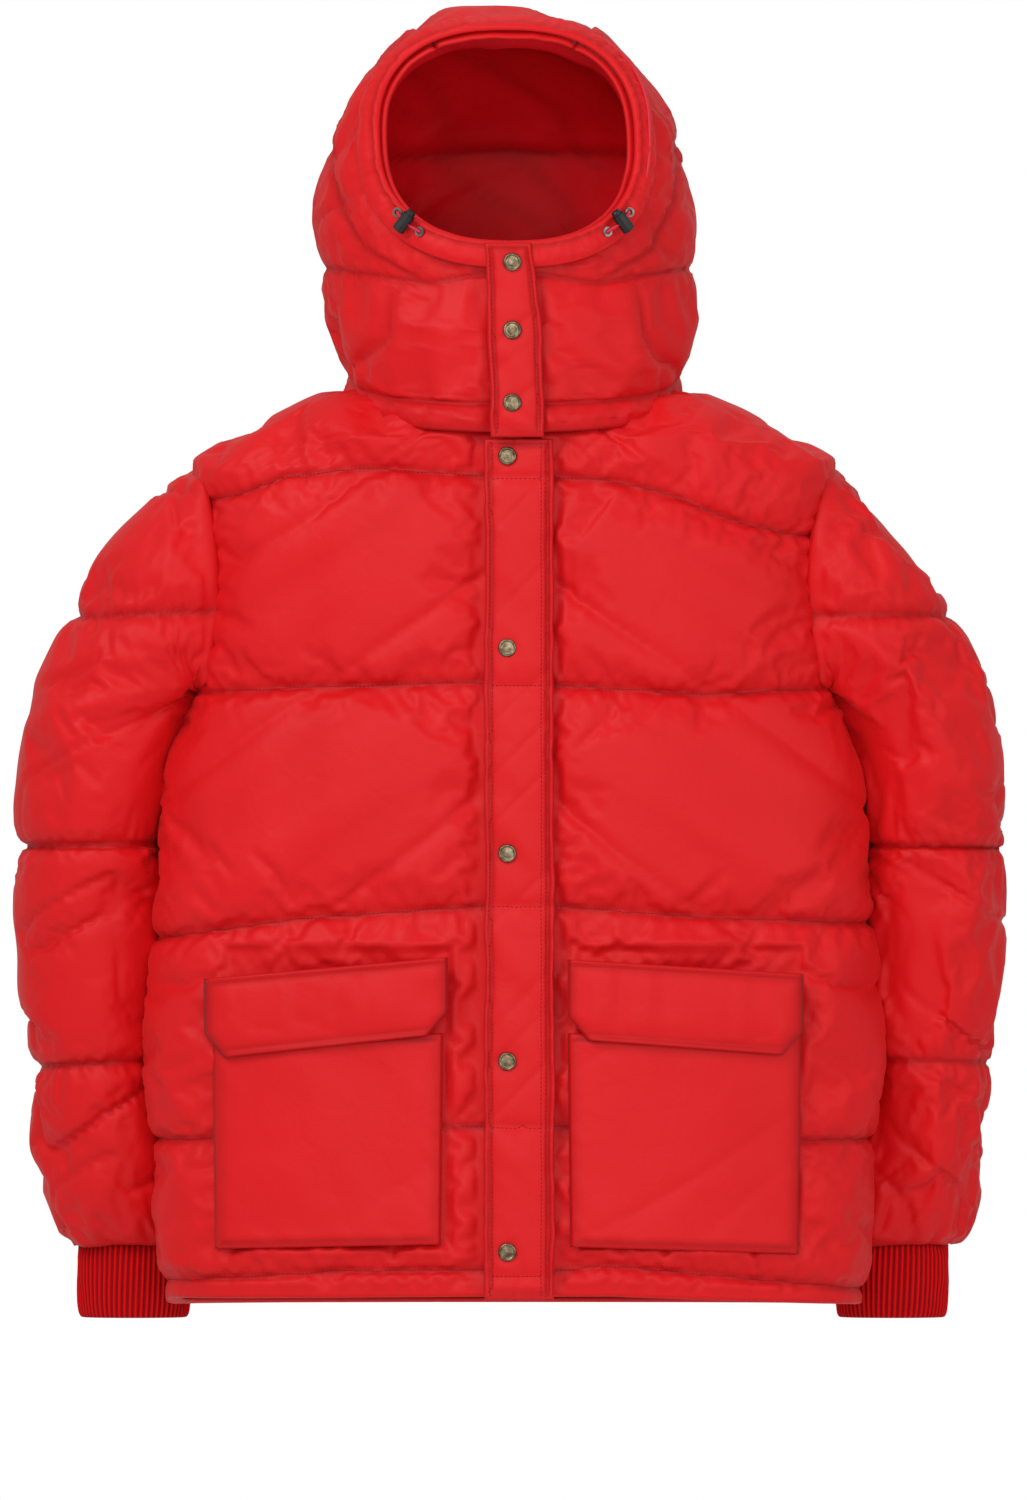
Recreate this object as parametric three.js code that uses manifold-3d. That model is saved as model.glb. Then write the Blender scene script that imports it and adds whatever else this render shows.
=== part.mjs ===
// Hooded ski jacket: a quilted torso with a zip and a press-studded storm flap, two sleeves that
// swing at the shoulder and bend at the elbow, two patch pockets with flaps, and a snap-off hood
// with a drawcord. Millimetres, +Z up, the front faces -Y, the wearer's left is +X.
// The origin is the hang loop at the back of the neck, on the inside of the collar.
import * as THREE from 'three';
import { mergeVertices } from 'three/addons/utils/BufferGeometryUtils.js';
import Module from 'manifold-3d';

const wasm = await Module();
wasm.setup();

// ---------- driving dimensions ----------
const GAP = 0.3; // between pieces that touch
const FLATNESS = 0.06; // facets this close to one plane are joined
const MOVING_GAP = 1; // between pieces that slide past each other
const CORNER_SHARPNESS = 2.8; // of the torso's superelliptic section
const HOOD_SHARPNESS = 2.35;

// torso
const BODY_LENGTH = 745; // neck to front hem
const CHEST_WIDTH = 536;
const CHEST_DEPTH = 238;
const WALL = 14; // quilted shell with its filling
const LINING_WALL = 1.5;
const LINING_CLEARANCE = 0.5;
const NECK_WIDTH = 224;
const NECK_HOLE = { x: 103, y: 92, centreY: -2 }; // half axes of the neck opening
const SHOULDER_DROP = 70;
const ARMHOLE_DEPTH = 180;
const ARMHOLE_RADIUS = 263; // of the armhole seam, seen from the front
const ARMHOLE_BITE = 21; // how far that seam cuts in from the chest's side

// front closure
const ZIP_X = 14; // the zip lies beside the middle, under the storm flap
const ZIP_SLOT = 14;
const ZIP_TOP = -52;
const ZIP_BOTTOM_RISE = 22; // above the hem
const TAPE_WIDTH = 15;
const TAPE_THICKNESS = 1.2;
const CHAIN_WIDTH = 3.1;
const CHAIN_THICKNESS = 4.6;
const CHAIN_DEPTH = 16.6; // behind the shell's face, to the middle of the teeth
const CHAIN_PARTING = 1.8; // between the two rows, where the slider's bridge runs
const SLIDER = { width: 11, height: 15, plate: 2, bridge: 1 };
const PULLER = { width: 7, length: 26, thickness: 2.2 };
const UNDER_FLAP = { width: 62, thickness: 3, depth: 23, seam: 7 };
const STORM_FLAP = { left: -24, right: 33, top: -43, thickness: 6, stand: 4.5 };

// press snaps, line 24
const SNAP = { cap: 7.5, height: 3, shank: 2, socket: 5.2, socketDepth: 2.6, bore: 2.7 };
const STUD = { base: 6, post: 2, flange: 1, height: 3.6 };
const BODY_SNAP_X = -5;
const BODY_SNAP_DROPS = [57, 213, 380, 549, 704]; // below the neck
const HOOD_SNAP_RISES = [-14, 45, 101]; // above the neck
const HOOD_SNAP_X = -1;

// patch pockets
const POCKET = { inner: 50, outer: 235, top: -528, bottom: -700, depth: 11, wall: 1.5, hem: 8 };
const POCKET_FLAP = { inner: 46, outer: 243, top: -465, drop: 15, height: 66, chamfer: 18 };
const POCKET_FLAP_STAND = 12;
const POCKET_FLAP_WALL = 5;
const POCKET_FLAP_ROOT = 8; // the strip that is sewn to the shell

// sleeves
const SLEEVE_LENGTH = 636; // shoulder point to cuff, straight down
const SLEEVE_WALL = 12;
const SLEEVE_GAP = 4; // between the hanging sleeve and the body
const ARM_BORE = { y: 51, z: 76 }; // half sizes of the way out of the body for the arm
const SHOULDER_RADIUS = 110; // of the round joint between sleeve head and sleeve
const ELBOW_Z = -377;
const ELBOW_GAP = 0.8;
const ELBOW_TURN = 32; // degrees that the elbow's axis is turned outward
const CUFF = { length: 60, halfWidth: 46, halfDepth: 40, wall: 6, centreY: 82 };

// hood
const HOOD_HEIGHT = 302;
const HOOD_WIDTH = 304;
const HOOD_WALL = 10;
const HOOD_BACK = 152;
const FACE = { x: 101, z: 85, centreZ: 203, sharpness: 2.5 }; // half axes of the face opening
const TUNNEL = { width: 20, stand: 0.6, thickness: 8 };
const GUSSET = { brow: 158, nape: 104 };
const HOOD_EDGE = { front: -38, back: 12 }; // height of the hood's neck edge
const BAND = { height: 36, thickness: 3 };
const HOOD_FLAP = { left: -24, right: 26, bottom: -41, top: 116 };
const COLLAR = { height: 42, wall: 8 };
const HANG_LOOP = { width: 62, height: 22, tape: 5, thickness: 1.6 };

// drawcord and its fittings
const CORD_DIAMETER = 2.4;
const CORD_CLEARANCE = 0.8;
const CORD_STEPS = 48;
const EYELET = { outer: 4.2, bore: 2.1, height: 1.6, barrel: 2.8 };
const EYELET_SPOTS = [[94, 141], [76, 125]]; // (x, z) of the upper and the lower eyelet
const LOCK = { length: 19, radius: 5.5, stand: 3 };
const PLUNGER = { radius: 4.2, head: 3, travel: 3 };
const BADGE = { radius: 7, height: 2.4, share: 0.62 };

// ---------- finishes ----------
const finish = (color, roughness, metalness) =>
  new THREE.MeshStandardMaterial({ color, roughness, metalness });
const shellRed = () => finish(0xdd2a30, 0.55, 0);
const liningRed = () => finish(0x9b0e1a, 0.4, 0);
const ribRed = () => finish(0xb80008, 0.9, 0);
const cordRed = () => finish(0xe8203c, 0.7, 0);
const brass = () => finish(0x7a6a4a, 0.38, 0.9);
const nickel = () => finish(0x6f6a66, 0.3, 0.9);
const blackPlastic = () => finish(0x1c1c1c, 0.45, 0);

// ---------- helpers: solids ----------
function solid(geometry) {
  const bare = geometry.index ? geometry.clone() : geometry;
  bare.deleteAttribute('normal');
  bare.deleteAttribute('uv');
  const merged = mergeVertices(bare, 1e-4);
  return new wasm.Manifold(new wasm.Mesh({
    numProp: 3,
    vertProperties: new Float32Array(merged.attributes.position.array),
    triVerts: new Uint32Array(merged.index.array),
  }));
}

function geometryOf(manifold) {
  const mesh = manifold.getMesh();
  const geometry = new THREE.BufferGeometry();
  geometry.setAttribute('position', new THREE.BufferAttribute(mesh.vertProperties, 3));
  geometry.setIndex(new THREE.BufferAttribute(mesh.triVerts, 1));
  geometry.computeVertexNormals();
  return geometry;
}

const jacket = new THREE.Group();

function place(name, shape, material) {
  const geometry = geometryOf(shape.asOriginal().simplify(FLATNESS));
  const mesh = new THREE.Mesh(geometry, material);
  mesh.name = name;
  jacket.add(mesh);
}

function box(x0, x1, y0, y1, z0, z1) {
  const geometry = new THREE.BoxGeometry(x1 - x0, y1 - y0, z1 - z0);
  geometry.translate((x0 + x1) / 2, (y0 + y1) / 2, (z0 + z1) / 2);
  return solid(geometry);
}

// a lathed piece whose axis runs from `from` along `direction`
function lathe(profile, from, direction, segments = 16) {
  const points = profile.map(([radius, along]) => new THREE.Vector2(radius, along));
  const geometry = new THREE.LatheGeometry(points, segments);
  const turn = new THREE.Quaternion().setFromUnitVectors(new THREE.Vector3(0, 1, 0), direction);
  geometry.applyQuaternion(turn);
  geometry.translate(from.x, from.y, from.z);
  return solid(geometry);
}

// a cylinder along Y, through everything
function crossBore(x, z, radius, segments = 36) {
  const geometry = new THREE.CylinderGeometry(radius, radius, 800, segments);
  geometry.translate(x, 0, z);
  return solid(geometry);
}

// an outline in the XZ plane, extruded along Y from y0 to y1
function prism(outline, y0 = -400, y1 = -1) {
  const shape = new THREE.Shape(outline.map(([x, z]) => new THREE.Vector2(x, z)));
  const geometry = new THREE.ExtrudeGeometry(shape, { depth: y1 - y0, bevelEnabled: false });
  geometry.rotateX(Math.PI / 2);
  geometry.translate(0, y1, 0);
  return solid(geometry);
}

const power = (value, exponent) => Math.sign(value) * Math.abs(value) ** exponent;

// an ellipse, or with a sharpness over 2 a superellipse, in the XZ plane
function oval(halfX, halfZ, centreZ, segments = 32, sharpness = 2) {
  const outline = [];
  for (let i = 0; i < segments; i += 1) {
    const angle = (2 * Math.PI * i) / segments;
    outline.push([
      halfX * power(Math.cos(angle), 2 / sharpness),
      centreZ + halfZ * power(Math.sin(angle), 2 / sharpness),
    ]);
  }
  return outline;
}

// ---------- helpers: lofts ----------
// a closed skin over rings of the same number of points, with flat ends
function loft(rings) {
  const count = rings[0].length;
  const positions = rings.flat().flatMap((point) => [point.x, point.y, point.z]);
  const index = [];
  for (let r = 0; r + 1 < rings.length; r += 1) {
    for (let i = 0; i < count; i += 1) {
      const a = r * count + i;
      const b = r * count + ((i + 1) % count);
      index.push(a, b, b + count, a, b + count, a + count);
    }
  }
  for (const [ring, forward] of [[0, false], [rings.length - 1, true]]) {
    const centre = new THREE.Vector3();
    rings[ring].forEach((point) => centre.addScaledVector(point, 1 / count));
    const hub = positions.length / 3;
    positions.push(centre.x, centre.y, centre.z);
    for (let i = 0; i < count; i += 1) {
      const a = ring * count + i;
      const b = ring * count + ((i + 1) % count);
      index.push(hub, forward ? a : b, forward ? b : a);
    }
  }
  const geometry = new THREE.BufferGeometry();
  geometry.setAttribute('position', new THREE.Float32BufferAttribute(positions, 3));
  geometry.setIndex(index);
  return solid(geometry);
}

// a level superelliptic ring; `front` and `back` are its two half depths
function levelRing(station, grow, sharpness, segments) {
  const points = [];
  for (let i = 0; i < segments; i += 1) {
    const angle = (2 * Math.PI * i) / segments;
    const depth = Math.sin(angle) < 0 ? station.front : station.back;
    points.push(new THREE.Vector3(
      (station.width + grow) * power(Math.cos(angle), 2 / sharpness),
      (depth + grow) * power(Math.sin(angle), 2 / sharpness),
      station.z,
    ));
  }
  return points;
}

class Form {
  constructor(stations, sharpness, segments) {
    this.stations = stations;
    this.sharpness = sharpness;
    this.segments = segments;
  }

  // the form's solid, grown by `grow`, with its lowest and highest rings moved outward
  body(grow, lower = 0, raise = 0) {
    const last = this.stations.length - 1;
    return loft(this.stations.map((station, i) => {
      const shift = (i === 0 ? -lower : 0) + (i === last ? raise : 0);
      return levelRing({ ...station, z: station.z + shift }, grow, this.sharpness, this.segments);
    }));
  }

  at(z) {
    const s = this.stations;
    let i = 0;
    while (i + 2 < s.length && s[i + 1].z < z) i += 1;
    const share = (z - s[i].z) / (s[i + 1].z - s[i].z);
    const mix = (key) => s[i][key] + share * (s[i + 1][key] - s[i][key]);
    return { width: mix('width'), front: mix('front'), back: mix('back') };
  }

  // the front face's y at (x, z), grown by `grow`
  frontY(x, z, grow = 0) {
    const here = this.at(z);
    const share = Math.min(Math.abs(x) / (here.width + grow), 1) ** this.sharpness;
    return -(here.front + grow) * (1 - share) ** (1 / this.sharpness);
  }

  // the outward direction of the front face at (x, z)
  facing(x, z) {
    const step = 2;
    const dx = (this.frontY(x + step, z) - this.frontY(x - step, z)) / (2 * step);
    const dz = (this.frontY(x, z + step) - this.frontY(x, z - step)) / (2 * step);
    return new THREE.Vector3(dx, -1, dz).normalize();
  }

  // a sheet on the front between two offsets, inside an outline in the XZ plane
  layer(outline, from, to) {
    return this.body(to, 5, 5).subtract(this.body(from, 9, 9)).intersect(prism(outline));
  }
}

// ---------- the forms ----------
const chest = CHEST_WIDTH / 2;
const depth = CHEST_DEPTH / 2;
const shoulder = chest - 3;
const neck = NECK_WIDTH / 2;
const underarmZ = -(SHOULDER_DROP + ARMHOLE_DEPTH);
const shoulderPart = (share) => neck + (shoulder - neck) * share;
const hemZ = -BODY_LENGTH;

const torso = new Form([
  { z: hemZ, width: chest + 18, front: depth, back: depth - 3 },
  { z: 0.9 * hemZ, width: chest + 23, front: depth, back: depth - 5 },
  { z: 0.72 * hemZ, width: chest + 29, front: depth, back: depth - 8 },
  { z: 0.6 * hemZ, width: chest + 26, front: depth, back: depth - 7 },
  { z: 0.45 * hemZ, width: chest + 15, front: depth, back: depth - 1 },
  { z: underarmZ, width: chest, front: depth, back: depth + 3 },
  { z: (underarmZ - SHOULDER_DROP) / 2, width: chest - 6, front: depth, back: depth + 5 },
  { z: -SHOULDER_DROP, width: shoulder, front: depth, back: depth - 1 },
  { z: -0.37 * SHOULDER_DROP, width: shoulderPart(0.64), front: depth, back: depth - 11 },
  { z: -0.07 * SHOULDER_DROP, width: shoulderPart(0.33), front: depth - 9, back: depth - 19 },
  { z: 3, width: shoulderPart(0.12), front: depth - 24, back: depth - 24 },
  { z: 10, width: neck, front: depth - 40, back: depth - 27 },
], CORNER_SHARPNESS, 24);

const hoodHalf = HOOD_WIDTH / 2;
const hoodBase = depth + HOOD_WALL + 2; // the hood's front edge lies over the torso's
const hood = new Form([
  { z: -46, width: 0.86 * hoodHalf, front: hoodBase, back: 108 },
  { z: 0, width: 0.88 * hoodHalf, front: hoodBase, back: 110 },
  { z: 0.12 * HOOD_HEIGHT, width: 0.95 * hoodHalf, front: hoodBase, back: 0.78 * HOOD_BACK },
  { z: 0.25 * HOOD_HEIGHT, width: 0.99 * hoodHalf, front: hoodBase, back: 0.92 * HOOD_BACK },
  { z: 0.4 * HOOD_HEIGHT, width: hoodHalf, front: hoodBase + 2, back: HOOD_BACK },
  { z: 0.58 * HOOD_HEIGHT, width: 0.97 * hoodHalf, front: hoodBase - 2, back: HOOD_BACK },
  { z: 0.73 * HOOD_HEIGHT, width: 0.89 * hoodHalf, front: hoodBase - 12, back: 0.95 * HOOD_BACK },
  { z: 0.86 * HOOD_HEIGHT, width: 0.73 * hoodHalf, front: hoodBase - 27, back: 0.8 * HOOD_BACK },
  { z: 0.95 * HOOD_HEIGHT, width: 0.53 * hoodHalf, front: hoodBase - 47, back: 0.58 * HOOD_BACK },
  { z: HOOD_HEIGHT, width: 0.34 * hoodHalf, front: hoodBase - 77, back: 0.34 * HOOD_BACK },
], HOOD_SHARPNESS, 24);

// ---------- sleeves: rings between the outer and inner edge of the hanging sleeve ----------
const cuffTop = -(SHOULDER_DROP - 5 + SLEEVE_LENGTH);
const sleeveStretch = (z) => underarmZ + ((z + 250) / -451) * (underarmZ - cuffTop) * -1;
const armX = chest - 6;

// outer and inner edge in (x, z), half depth and y of the middle
const sleeveStations = [
  { ox: armX - 40, oz: 8 - SHOULDER_DROP, ix: armX - 40, iz: underarmZ, depth: 74, y: 0 },
  { ox: armX, oz: 8 - SHOULDER_DROP, ix: armX - 4, iz: underarmZ, depth: 75, y: 0 },
  { ox: armX + 57, oz: -48 - SHOULDER_DROP, ix: armX, iz: underarmZ - 3, depth: 77, y: 0 },
  { ox: armX + 101, oz: -118 - SHOULDER_DROP, ix: armX + 6, iz: underarmZ - 12, depth: 77, y: 3 },
  { ox: armX + 126, oz: sleeveStretch(-265), ix: armX + 18, iz: sleeveStretch(-292), depth: 76, y: 9 },
  { ox: armX + 139, oz: ELBOW_Z, ix: armX + 29, iz: ELBOW_Z, depth: 72, y: 22 },
  { ox: armX + 136, oz: sleeveStretch(-466), ix: armX + 30, iz: sleeveStretch(-466), depth: 70, y: 36 },
  { ox: armX + 129, oz: sleeveStretch(-552), ix: armX + 27, iz: sleeveStretch(-552), depth: 66, y: 52 },
  { ox: armX + 116, oz: sleeveStretch(-648), ix: armX + 16, iz: sleeveStretch(-648), depth: 58, y: 70 },
  { ox: armX + 99, oz: cuffTop, ix: armX - 1, iz: cuffTop, depth: 48, y: CUFF.centreY },
];

function sleeveRing(s, side, grow, segments = 16) {
  const across = new THREE.Vector3(s.ox - s.ix, 0, s.oz - s.iz);
  const halfWidth = across.length() / 2 + grow;
  across.normalize();
  const middle = new THREE.Vector3((s.ox + s.ix) / 2, s.y, (s.oz + s.iz) / 2);
  const points = [];
  for (let i = 0; i < segments; i += 1) {
    const angle = (2 * Math.PI * i * side) / segments;
    const point = middle.clone().addScaledVector(across, halfWidth * Math.cos(angle));
    point.y += (s.depth + grow) * Math.sin(angle);
    point.x *= side;
    points.push(point);
  }
  return points.reverse();
}

function sleeveBody(side, grow) {
  const over = grow < 0 ? 3 : 0; // the inside runs past both ends
  const last = sleeveStations.length - 1;
  return loft(sleeveStations.map((s, i) => {
    const inset = i === 0 ? over : 0;
    const drop = i === last ? over : 0;
    return sleeveRing({
      ...s, ox: s.ox - inset, ix: s.ix - inset, oz: s.oz - drop, iz: s.iz - drop,
    }, side, grow);
  }));
}

const sides = [{ name: 'left', sign: 1 }, { name: 'right', sign: -1 }];
const armholeX = chest - ARMHOLE_BITE + ARMHOLE_RADIUS;
const armholeZ = (underarmZ - SHOULDER_DROP) / 2;
const outside = torso.body(SLEEVE_GAP, 2, 0);

for (const { name, sign } of sides) {
  const tube = sleeveBody(sign, 0).subtract(sleeveBody(sign, -SLEEVE_WALL));
  const joint = crossBore(sign * armX, armholeZ, SHOULDER_RADIUS);
  const jointClear = crossBore(sign * armX, armholeZ, SHOULDER_RADIUS + MOVING_GAP);
  const armhole = crossBore(sign * armholeX, armholeZ, ARMHOLE_RADIUS - GAP);
  const above = box(-600, 600, -400, 400, ELBOW_Z + ELBOW_GAP / 2, 100);
  const below = box(-600, 600, -400, 400, -1200, ELBOW_Z - ELBOW_GAP / 2);
  place(`sleeve_head_${name}`, tube.intersect(joint).intersect(armhole), shellRed());
  const outer = tube.subtract(jointClear).subtract(outside);
  place(`upper_sleeve_${name}`, outer.intersect(above), shellRed());
  place(`lower_sleeve_${name}`, outer.intersect(below), shellRed());
  const cuffRing = (half, halfDepth, z) => sleeveRing({
    ox: armX + 49 + half, ix: armX + 49 - half, oz: z, iz: z, depth: halfDepth, y: CUFF.centreY,
  }, sign, 0);
  const top = cuffTop - GAP;
  const cuffBody = (grow, over) => loft([
    cuffRing(CUFF.halfWidth - 2 + grow, CUFF.halfDepth + grow, top + over),
    cuffRing(CUFF.halfWidth + grow, CUFF.halfDepth + 1 + grow, top - CUFF.length / 2),
    cuffRing(CUFF.halfWidth - 3 + grow, CUFF.halfDepth - 1 + grow, top - CUFF.length - over),
  ]);
  const cuff = cuffBody(0, 0).subtract(cuffBody(-CUFF.wall, 2)).subtract(outside);
  place(`rib_cuff_${name}`, cuff, ribRed());
}

// ---------- torso: shell panels, lining, collar ----------
const neckHole = (grow, z0, z1) => {
  const ringAt = (z) => oval(NECK_HOLE.x + grow, NECK_HOLE.y + grow, NECK_HOLE.centreY)
    .map(([x, y]) => new THREE.Vector3(x, y, z));
  return loft([ringAt(z0), ringAt(z1)]);
};

let wall = torso.body(0).subtract(torso.body(-WALL, 6)).subtract(neckHole(0, -120, 60));
const liningFace = -WALL - LINING_CLEARANCE;
let lining = torso.body(liningFace).subtract(torso.body(liningFace - LINING_WALL, 6));
lining = lining.subtract(neckHole(0, -120, 60)).intersect(box(-400, 400, -400, 400, hemZ + 12, 60));
for (const { sign } of sides) {
  const armRing = (x) => oval(ARM_BORE.y, ARM_BORE.z, armholeZ)
    .map(([y, z]) => new THREE.Vector3(x, y, z));
  const bore = loft([armRing(sign > 0 ? 200 : -320), armRing(sign > 0 ? 320 : -200)]);
  const armhole = crossBore(sign * armholeX, armholeZ, ARMHOLE_RADIUS).add(bore);
  wall = wall.subtract(armhole);
  lining = lining.subtract(armhole);
}
const slotLeft = ZIP_X - ZIP_SLOT / 2;
const slotRight = ZIP_X + ZIP_SLOT / 2;
const guard = UNDER_FLAP.width / 2 + 2;
const everywhere = 500;
const low = hemZ - 60;

// press snaps: a riveted cap on the flap, a stud on the piece behind it
const capProfile = (reach) => [
  [0, -reach - GAP], [SNAP.bore, -reach - GAP], [SNAP.bore, -reach - SNAP.socketDepth],
  [SNAP.socket, -reach - SNAP.socketDepth], [SNAP.socket, -reach], [SNAP.shank, -reach],
  [SNAP.shank, 0], [SNAP.cap, 0], [SNAP.cap - 0.8, SNAP.height - 0.6],
  [SNAP.cap - 2.2, SNAP.height], [0, SNAP.height],
];
const studProfile = [
  [0, 0], [STUD.base, 0], [STUD.base, STUD.flange], [STUD.post, STUD.flange],
  [STUD.post, STUD.height], [0, STUD.height],
];

// seats for one snap: what is cut from the flap, and from the piece that holds the stud
function snapAt(form, x, z) {
  const outward = form.facing(x, z);
  const face = new THREE.Vector3(x, form.frontY(x, z), z);
  const stand = STORM_FLAP.stand + STORM_FLAP.thickness;
  const capSeat = face.clone().addScaledVector(outward, stand - 1);
  const reach = STORM_FLAP.thickness - 1.4;
  const studSeat = face.clone().addScaledVector(outward, stand - 2 - reach - SNAP.socketDepth);
  const studBase = studSeat.clone().addScaledVector(outward, 0.6 - STUD.flange);
  return {
    cap: lathe(capProfile(reach), capSeat, outward, 8),
    stud: lathe(studProfile, studBase, outward, 8),
    flapCut: lathe([
      [0, -20], [SNAP.socket + 1, -20], [SNAP.socket + 1, -reach + GAP],
      [SNAP.shank + GAP, -reach + GAP], [SNAP.shank + GAP, -GAP], [SNAP.cap + 1, -GAP],
      [SNAP.cap + 1, 12], [0, 12],
    ], capSeat, outward, 8),
    shellCut: lathe([[0, -GAP], [STUD.base + 1, -GAP], [STUD.base + 1, 12], [0, 12]],
      studBase, outward, 8),
  };
}

const bodySnaps = BODY_SNAP_DROPS.map((drop) => snapAt(torso, BODY_SNAP_X, -drop));
const hoodSnaps = HOOD_SNAP_RISES.map((rise) => snapAt(hood, HOOD_SNAP_X, rise));

let frontRight = wall.intersect(box(-everywhere, slotLeft, -400, -GAP / 2, low, 60));
let frontLeft = wall.intersect(box(slotRight, everywhere, -400, -GAP / 2, low, 60));
bodySnaps.forEach((snap) => { frontRight = frontRight.subtract(snap.shellCut); });
place('front_panel_right', frontRight, shellRed());
place('front_panel_left', frontLeft, shellRed());
place('back_panel', wall.intersect(box(-everywhere, everywhere, GAP / 2, 400, low, 60)), shellRed());
const liningSlot = box(ZIP_X - guard, ZIP_X + guard, -400, 0, low, 60);
place('body_lining', lining.subtract(liningSlot), liningRed());

const collarZ = -32;
const collarTop = COLLAR.height;
const collarRing = (grow, z, lean) =>
  oval(NECK_HOLE.x + grow, NECK_HOLE.y + grow, NECK_HOLE.centreY + lean)
    .map(([x, y]) => new THREE.Vector3(x, y, z));
const collarBody = (grow, over) => loft([
  collarRing(grow, collarZ - over, 0), collarRing(grow, 0, 0),
  collarRing(grow - 4, collarTop + over, 3),
]);
let collar = collarBody(-GAP, 0).subtract(collarBody(-GAP - COLLAR.wall, 1));
collar = collar.subtract(torso.body(-WALL - 2, 0).intersect(box(-500, 500, -400, -70, -200, 60)));
place('collar', collar.subtract(box(slotLeft, slotRight, -400, 0, -200, 200)), shellRed());

// hang loop: a tape arch sewn inside the back of the collar, its crown at z = 0
const loopWidth = HANG_LOOP.width / 2;
const wallX = NECK_HOLE.x - COLLAR.wall - 2 * GAP;
const wallY = NECK_HOLE.y - COLLAR.wall - 4 * GAP;
const loopBack = NECK_HOLE.centreY + wallY * Math.sqrt(1 - (loopWidth / wallX) ** 2);
const loopFront = loopBack - HANG_LOOP.thickness;
const arch = (inset, foot) => {
  const half = loopWidth - inset;
  return [[-half, foot], [-half, -9 - inset / 2], [8 - half, -inset], [half - 8, -inset],
    [half, -9 - inset / 2], [half, foot]];
};
const loopFoot = -HANG_LOOP.height;
const hangLoop = prism(arch(0, loopFoot), loopFront, loopBack)
  .subtract(prism(arch(HANG_LOOP.tape, loopFoot + HANG_LOOP.tape), loopFront - 1, loopBack + 1));
place('hang_loop', hangLoop, shellRed());
jacket.position.y = -loopBack; // the hang loop carries the jacket, so the origin is there

// ---------- zip ----------
const zipBottom = hemZ + ZIP_BOTTOM_RISE;
const slab = (x0, x1, z0, z1, from, to) =>
  torso.layer([[x0, z0], [x1, z0], [x1, z1], [x0, z1]], from, to);
const tapeOuter = -WALL - GAP;
const half = CHAIN_THICKNESS / 2;
const zipLine = -CHAIN_DEPTH; // offset of the middle of the teeth from the shell's face
for (const { name, sign } of sides) {
  const span = (reach) => [ZIP_X + sign * CHAIN_PARTING / 2, ZIP_X + sign * reach]
    .sort((a, b) => a - b);
  const [c0, c1] = span(CHAIN_PARTING / 2 + CHAIN_WIDTH);
  const [t0, t1] = span(TAPE_WIDTH);
  const chain = slab(c0, c1, zipBottom, ZIP_TOP, zipLine - half, zipLine + half);
  const tape = slab(t0, t1, zipBottom, ZIP_TOP, tapeOuter - TAPE_THICKNESS, tapeOuter);
  place(`zip_tape_${name}`, chain.add(tape), finish(0xc81e28, 0.7, 0));
}

// a block in front of or behind the closure; the front is flat there, so y is one value
const blockAt = (x0, x1, z0, z1, from, to) =>
  box(x0, x1, torso.frontY(ZIP_X, underarmZ, to), torso.frontY(ZIP_X, underarmZ, from), z0, z1);

// the slider: two plates around both rows of teeth, joined by a thin bridge between them
const sliderTop = ZIP_TOP - 4;
const sliderBottom = sliderTop - SLIDER.height;
const plateGap = half + 0.6;
const plate = (from, to) => blockAt(ZIP_X - SLIDER.width / 2, ZIP_X + SLIDER.width / 2,
  sliderBottom, sliderTop, from, to);
const frontPlate = plate(zipLine + plateGap, zipLine + plateGap + SLIDER.plate);
const backPlate = plate(zipLine - plateGap - SLIDER.plate, zipLine - plateGap);
const bridge = blockAt(ZIP_X - SLIDER.bridge / 2, ZIP_X + SLIDER.bridge / 2, sliderTop - 5,
  sliderTop, zipLine - plateGap - 1, zipLine + plateGap + 1);
const pinOffset = zipLine + plateGap + SLIDER.plate + 2.2;
const pinZ = sliderTop - 4;
const pinY = torso.frontY(ZIP_X, underarmZ, pinOffset);
const cheek = (x) => blockAt(x, x + 1.4, pinZ - 2, pinZ + 2, zipLine + plateGap + 1, pinOffset + 1.5);
const pin = new THREE.CylinderGeometry(0.7, 0.7, 8, 12);
pin.rotateZ(Math.PI / 2);
pin.translate(ZIP_X, pinY, pinZ);
let slider = frontPlate.add(backPlate).add(bridge).add(solid(pin));
slider = slider.add(cheek(ZIP_X - 4.2)).add(cheek(ZIP_X + 2.8));
place('zip_slider', slider, brass());

const pullerShape = new THREE.Shape();
const pullerHalf = PULLER.width / 2;
pullerShape.moveTo(-2.4, 1.6);
pullerShape.lineTo(2.4, 1.6);
pullerShape.lineTo(2.4, -3);
pullerShape.lineTo(pullerHalf, -6);
pullerShape.lineTo(pullerHalf, -PULLER.length + 2);
pullerShape.lineTo(pullerHalf - 1.5, -PULLER.length);
pullerShape.lineTo(1.5 - pullerHalf, -PULLER.length);
pullerShape.lineTo(-pullerHalf, -PULLER.length + 2);
pullerShape.lineTo(-pullerHalf, -6);
pullerShape.lineTo(-2.4, -3);
const pullerBody = new THREE.ExtrudeGeometry(pullerShape,
  { depth: PULLER.thickness + 1, bevelEnabled: false });
pullerBody.rotateX(Math.PI / 2);
pullerBody.translate(ZIP_X, pinY + (PULLER.thickness + 1) / 2, pinZ);
const eye = new THREE.CylinderGeometry(1, 1, 12, 12);
eye.rotateZ(Math.PI / 2);
eye.translate(ZIP_X, pinY, pinZ);
place('zip_puller', solid(pullerBody).subtract(solid(eye)), brass());

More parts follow.
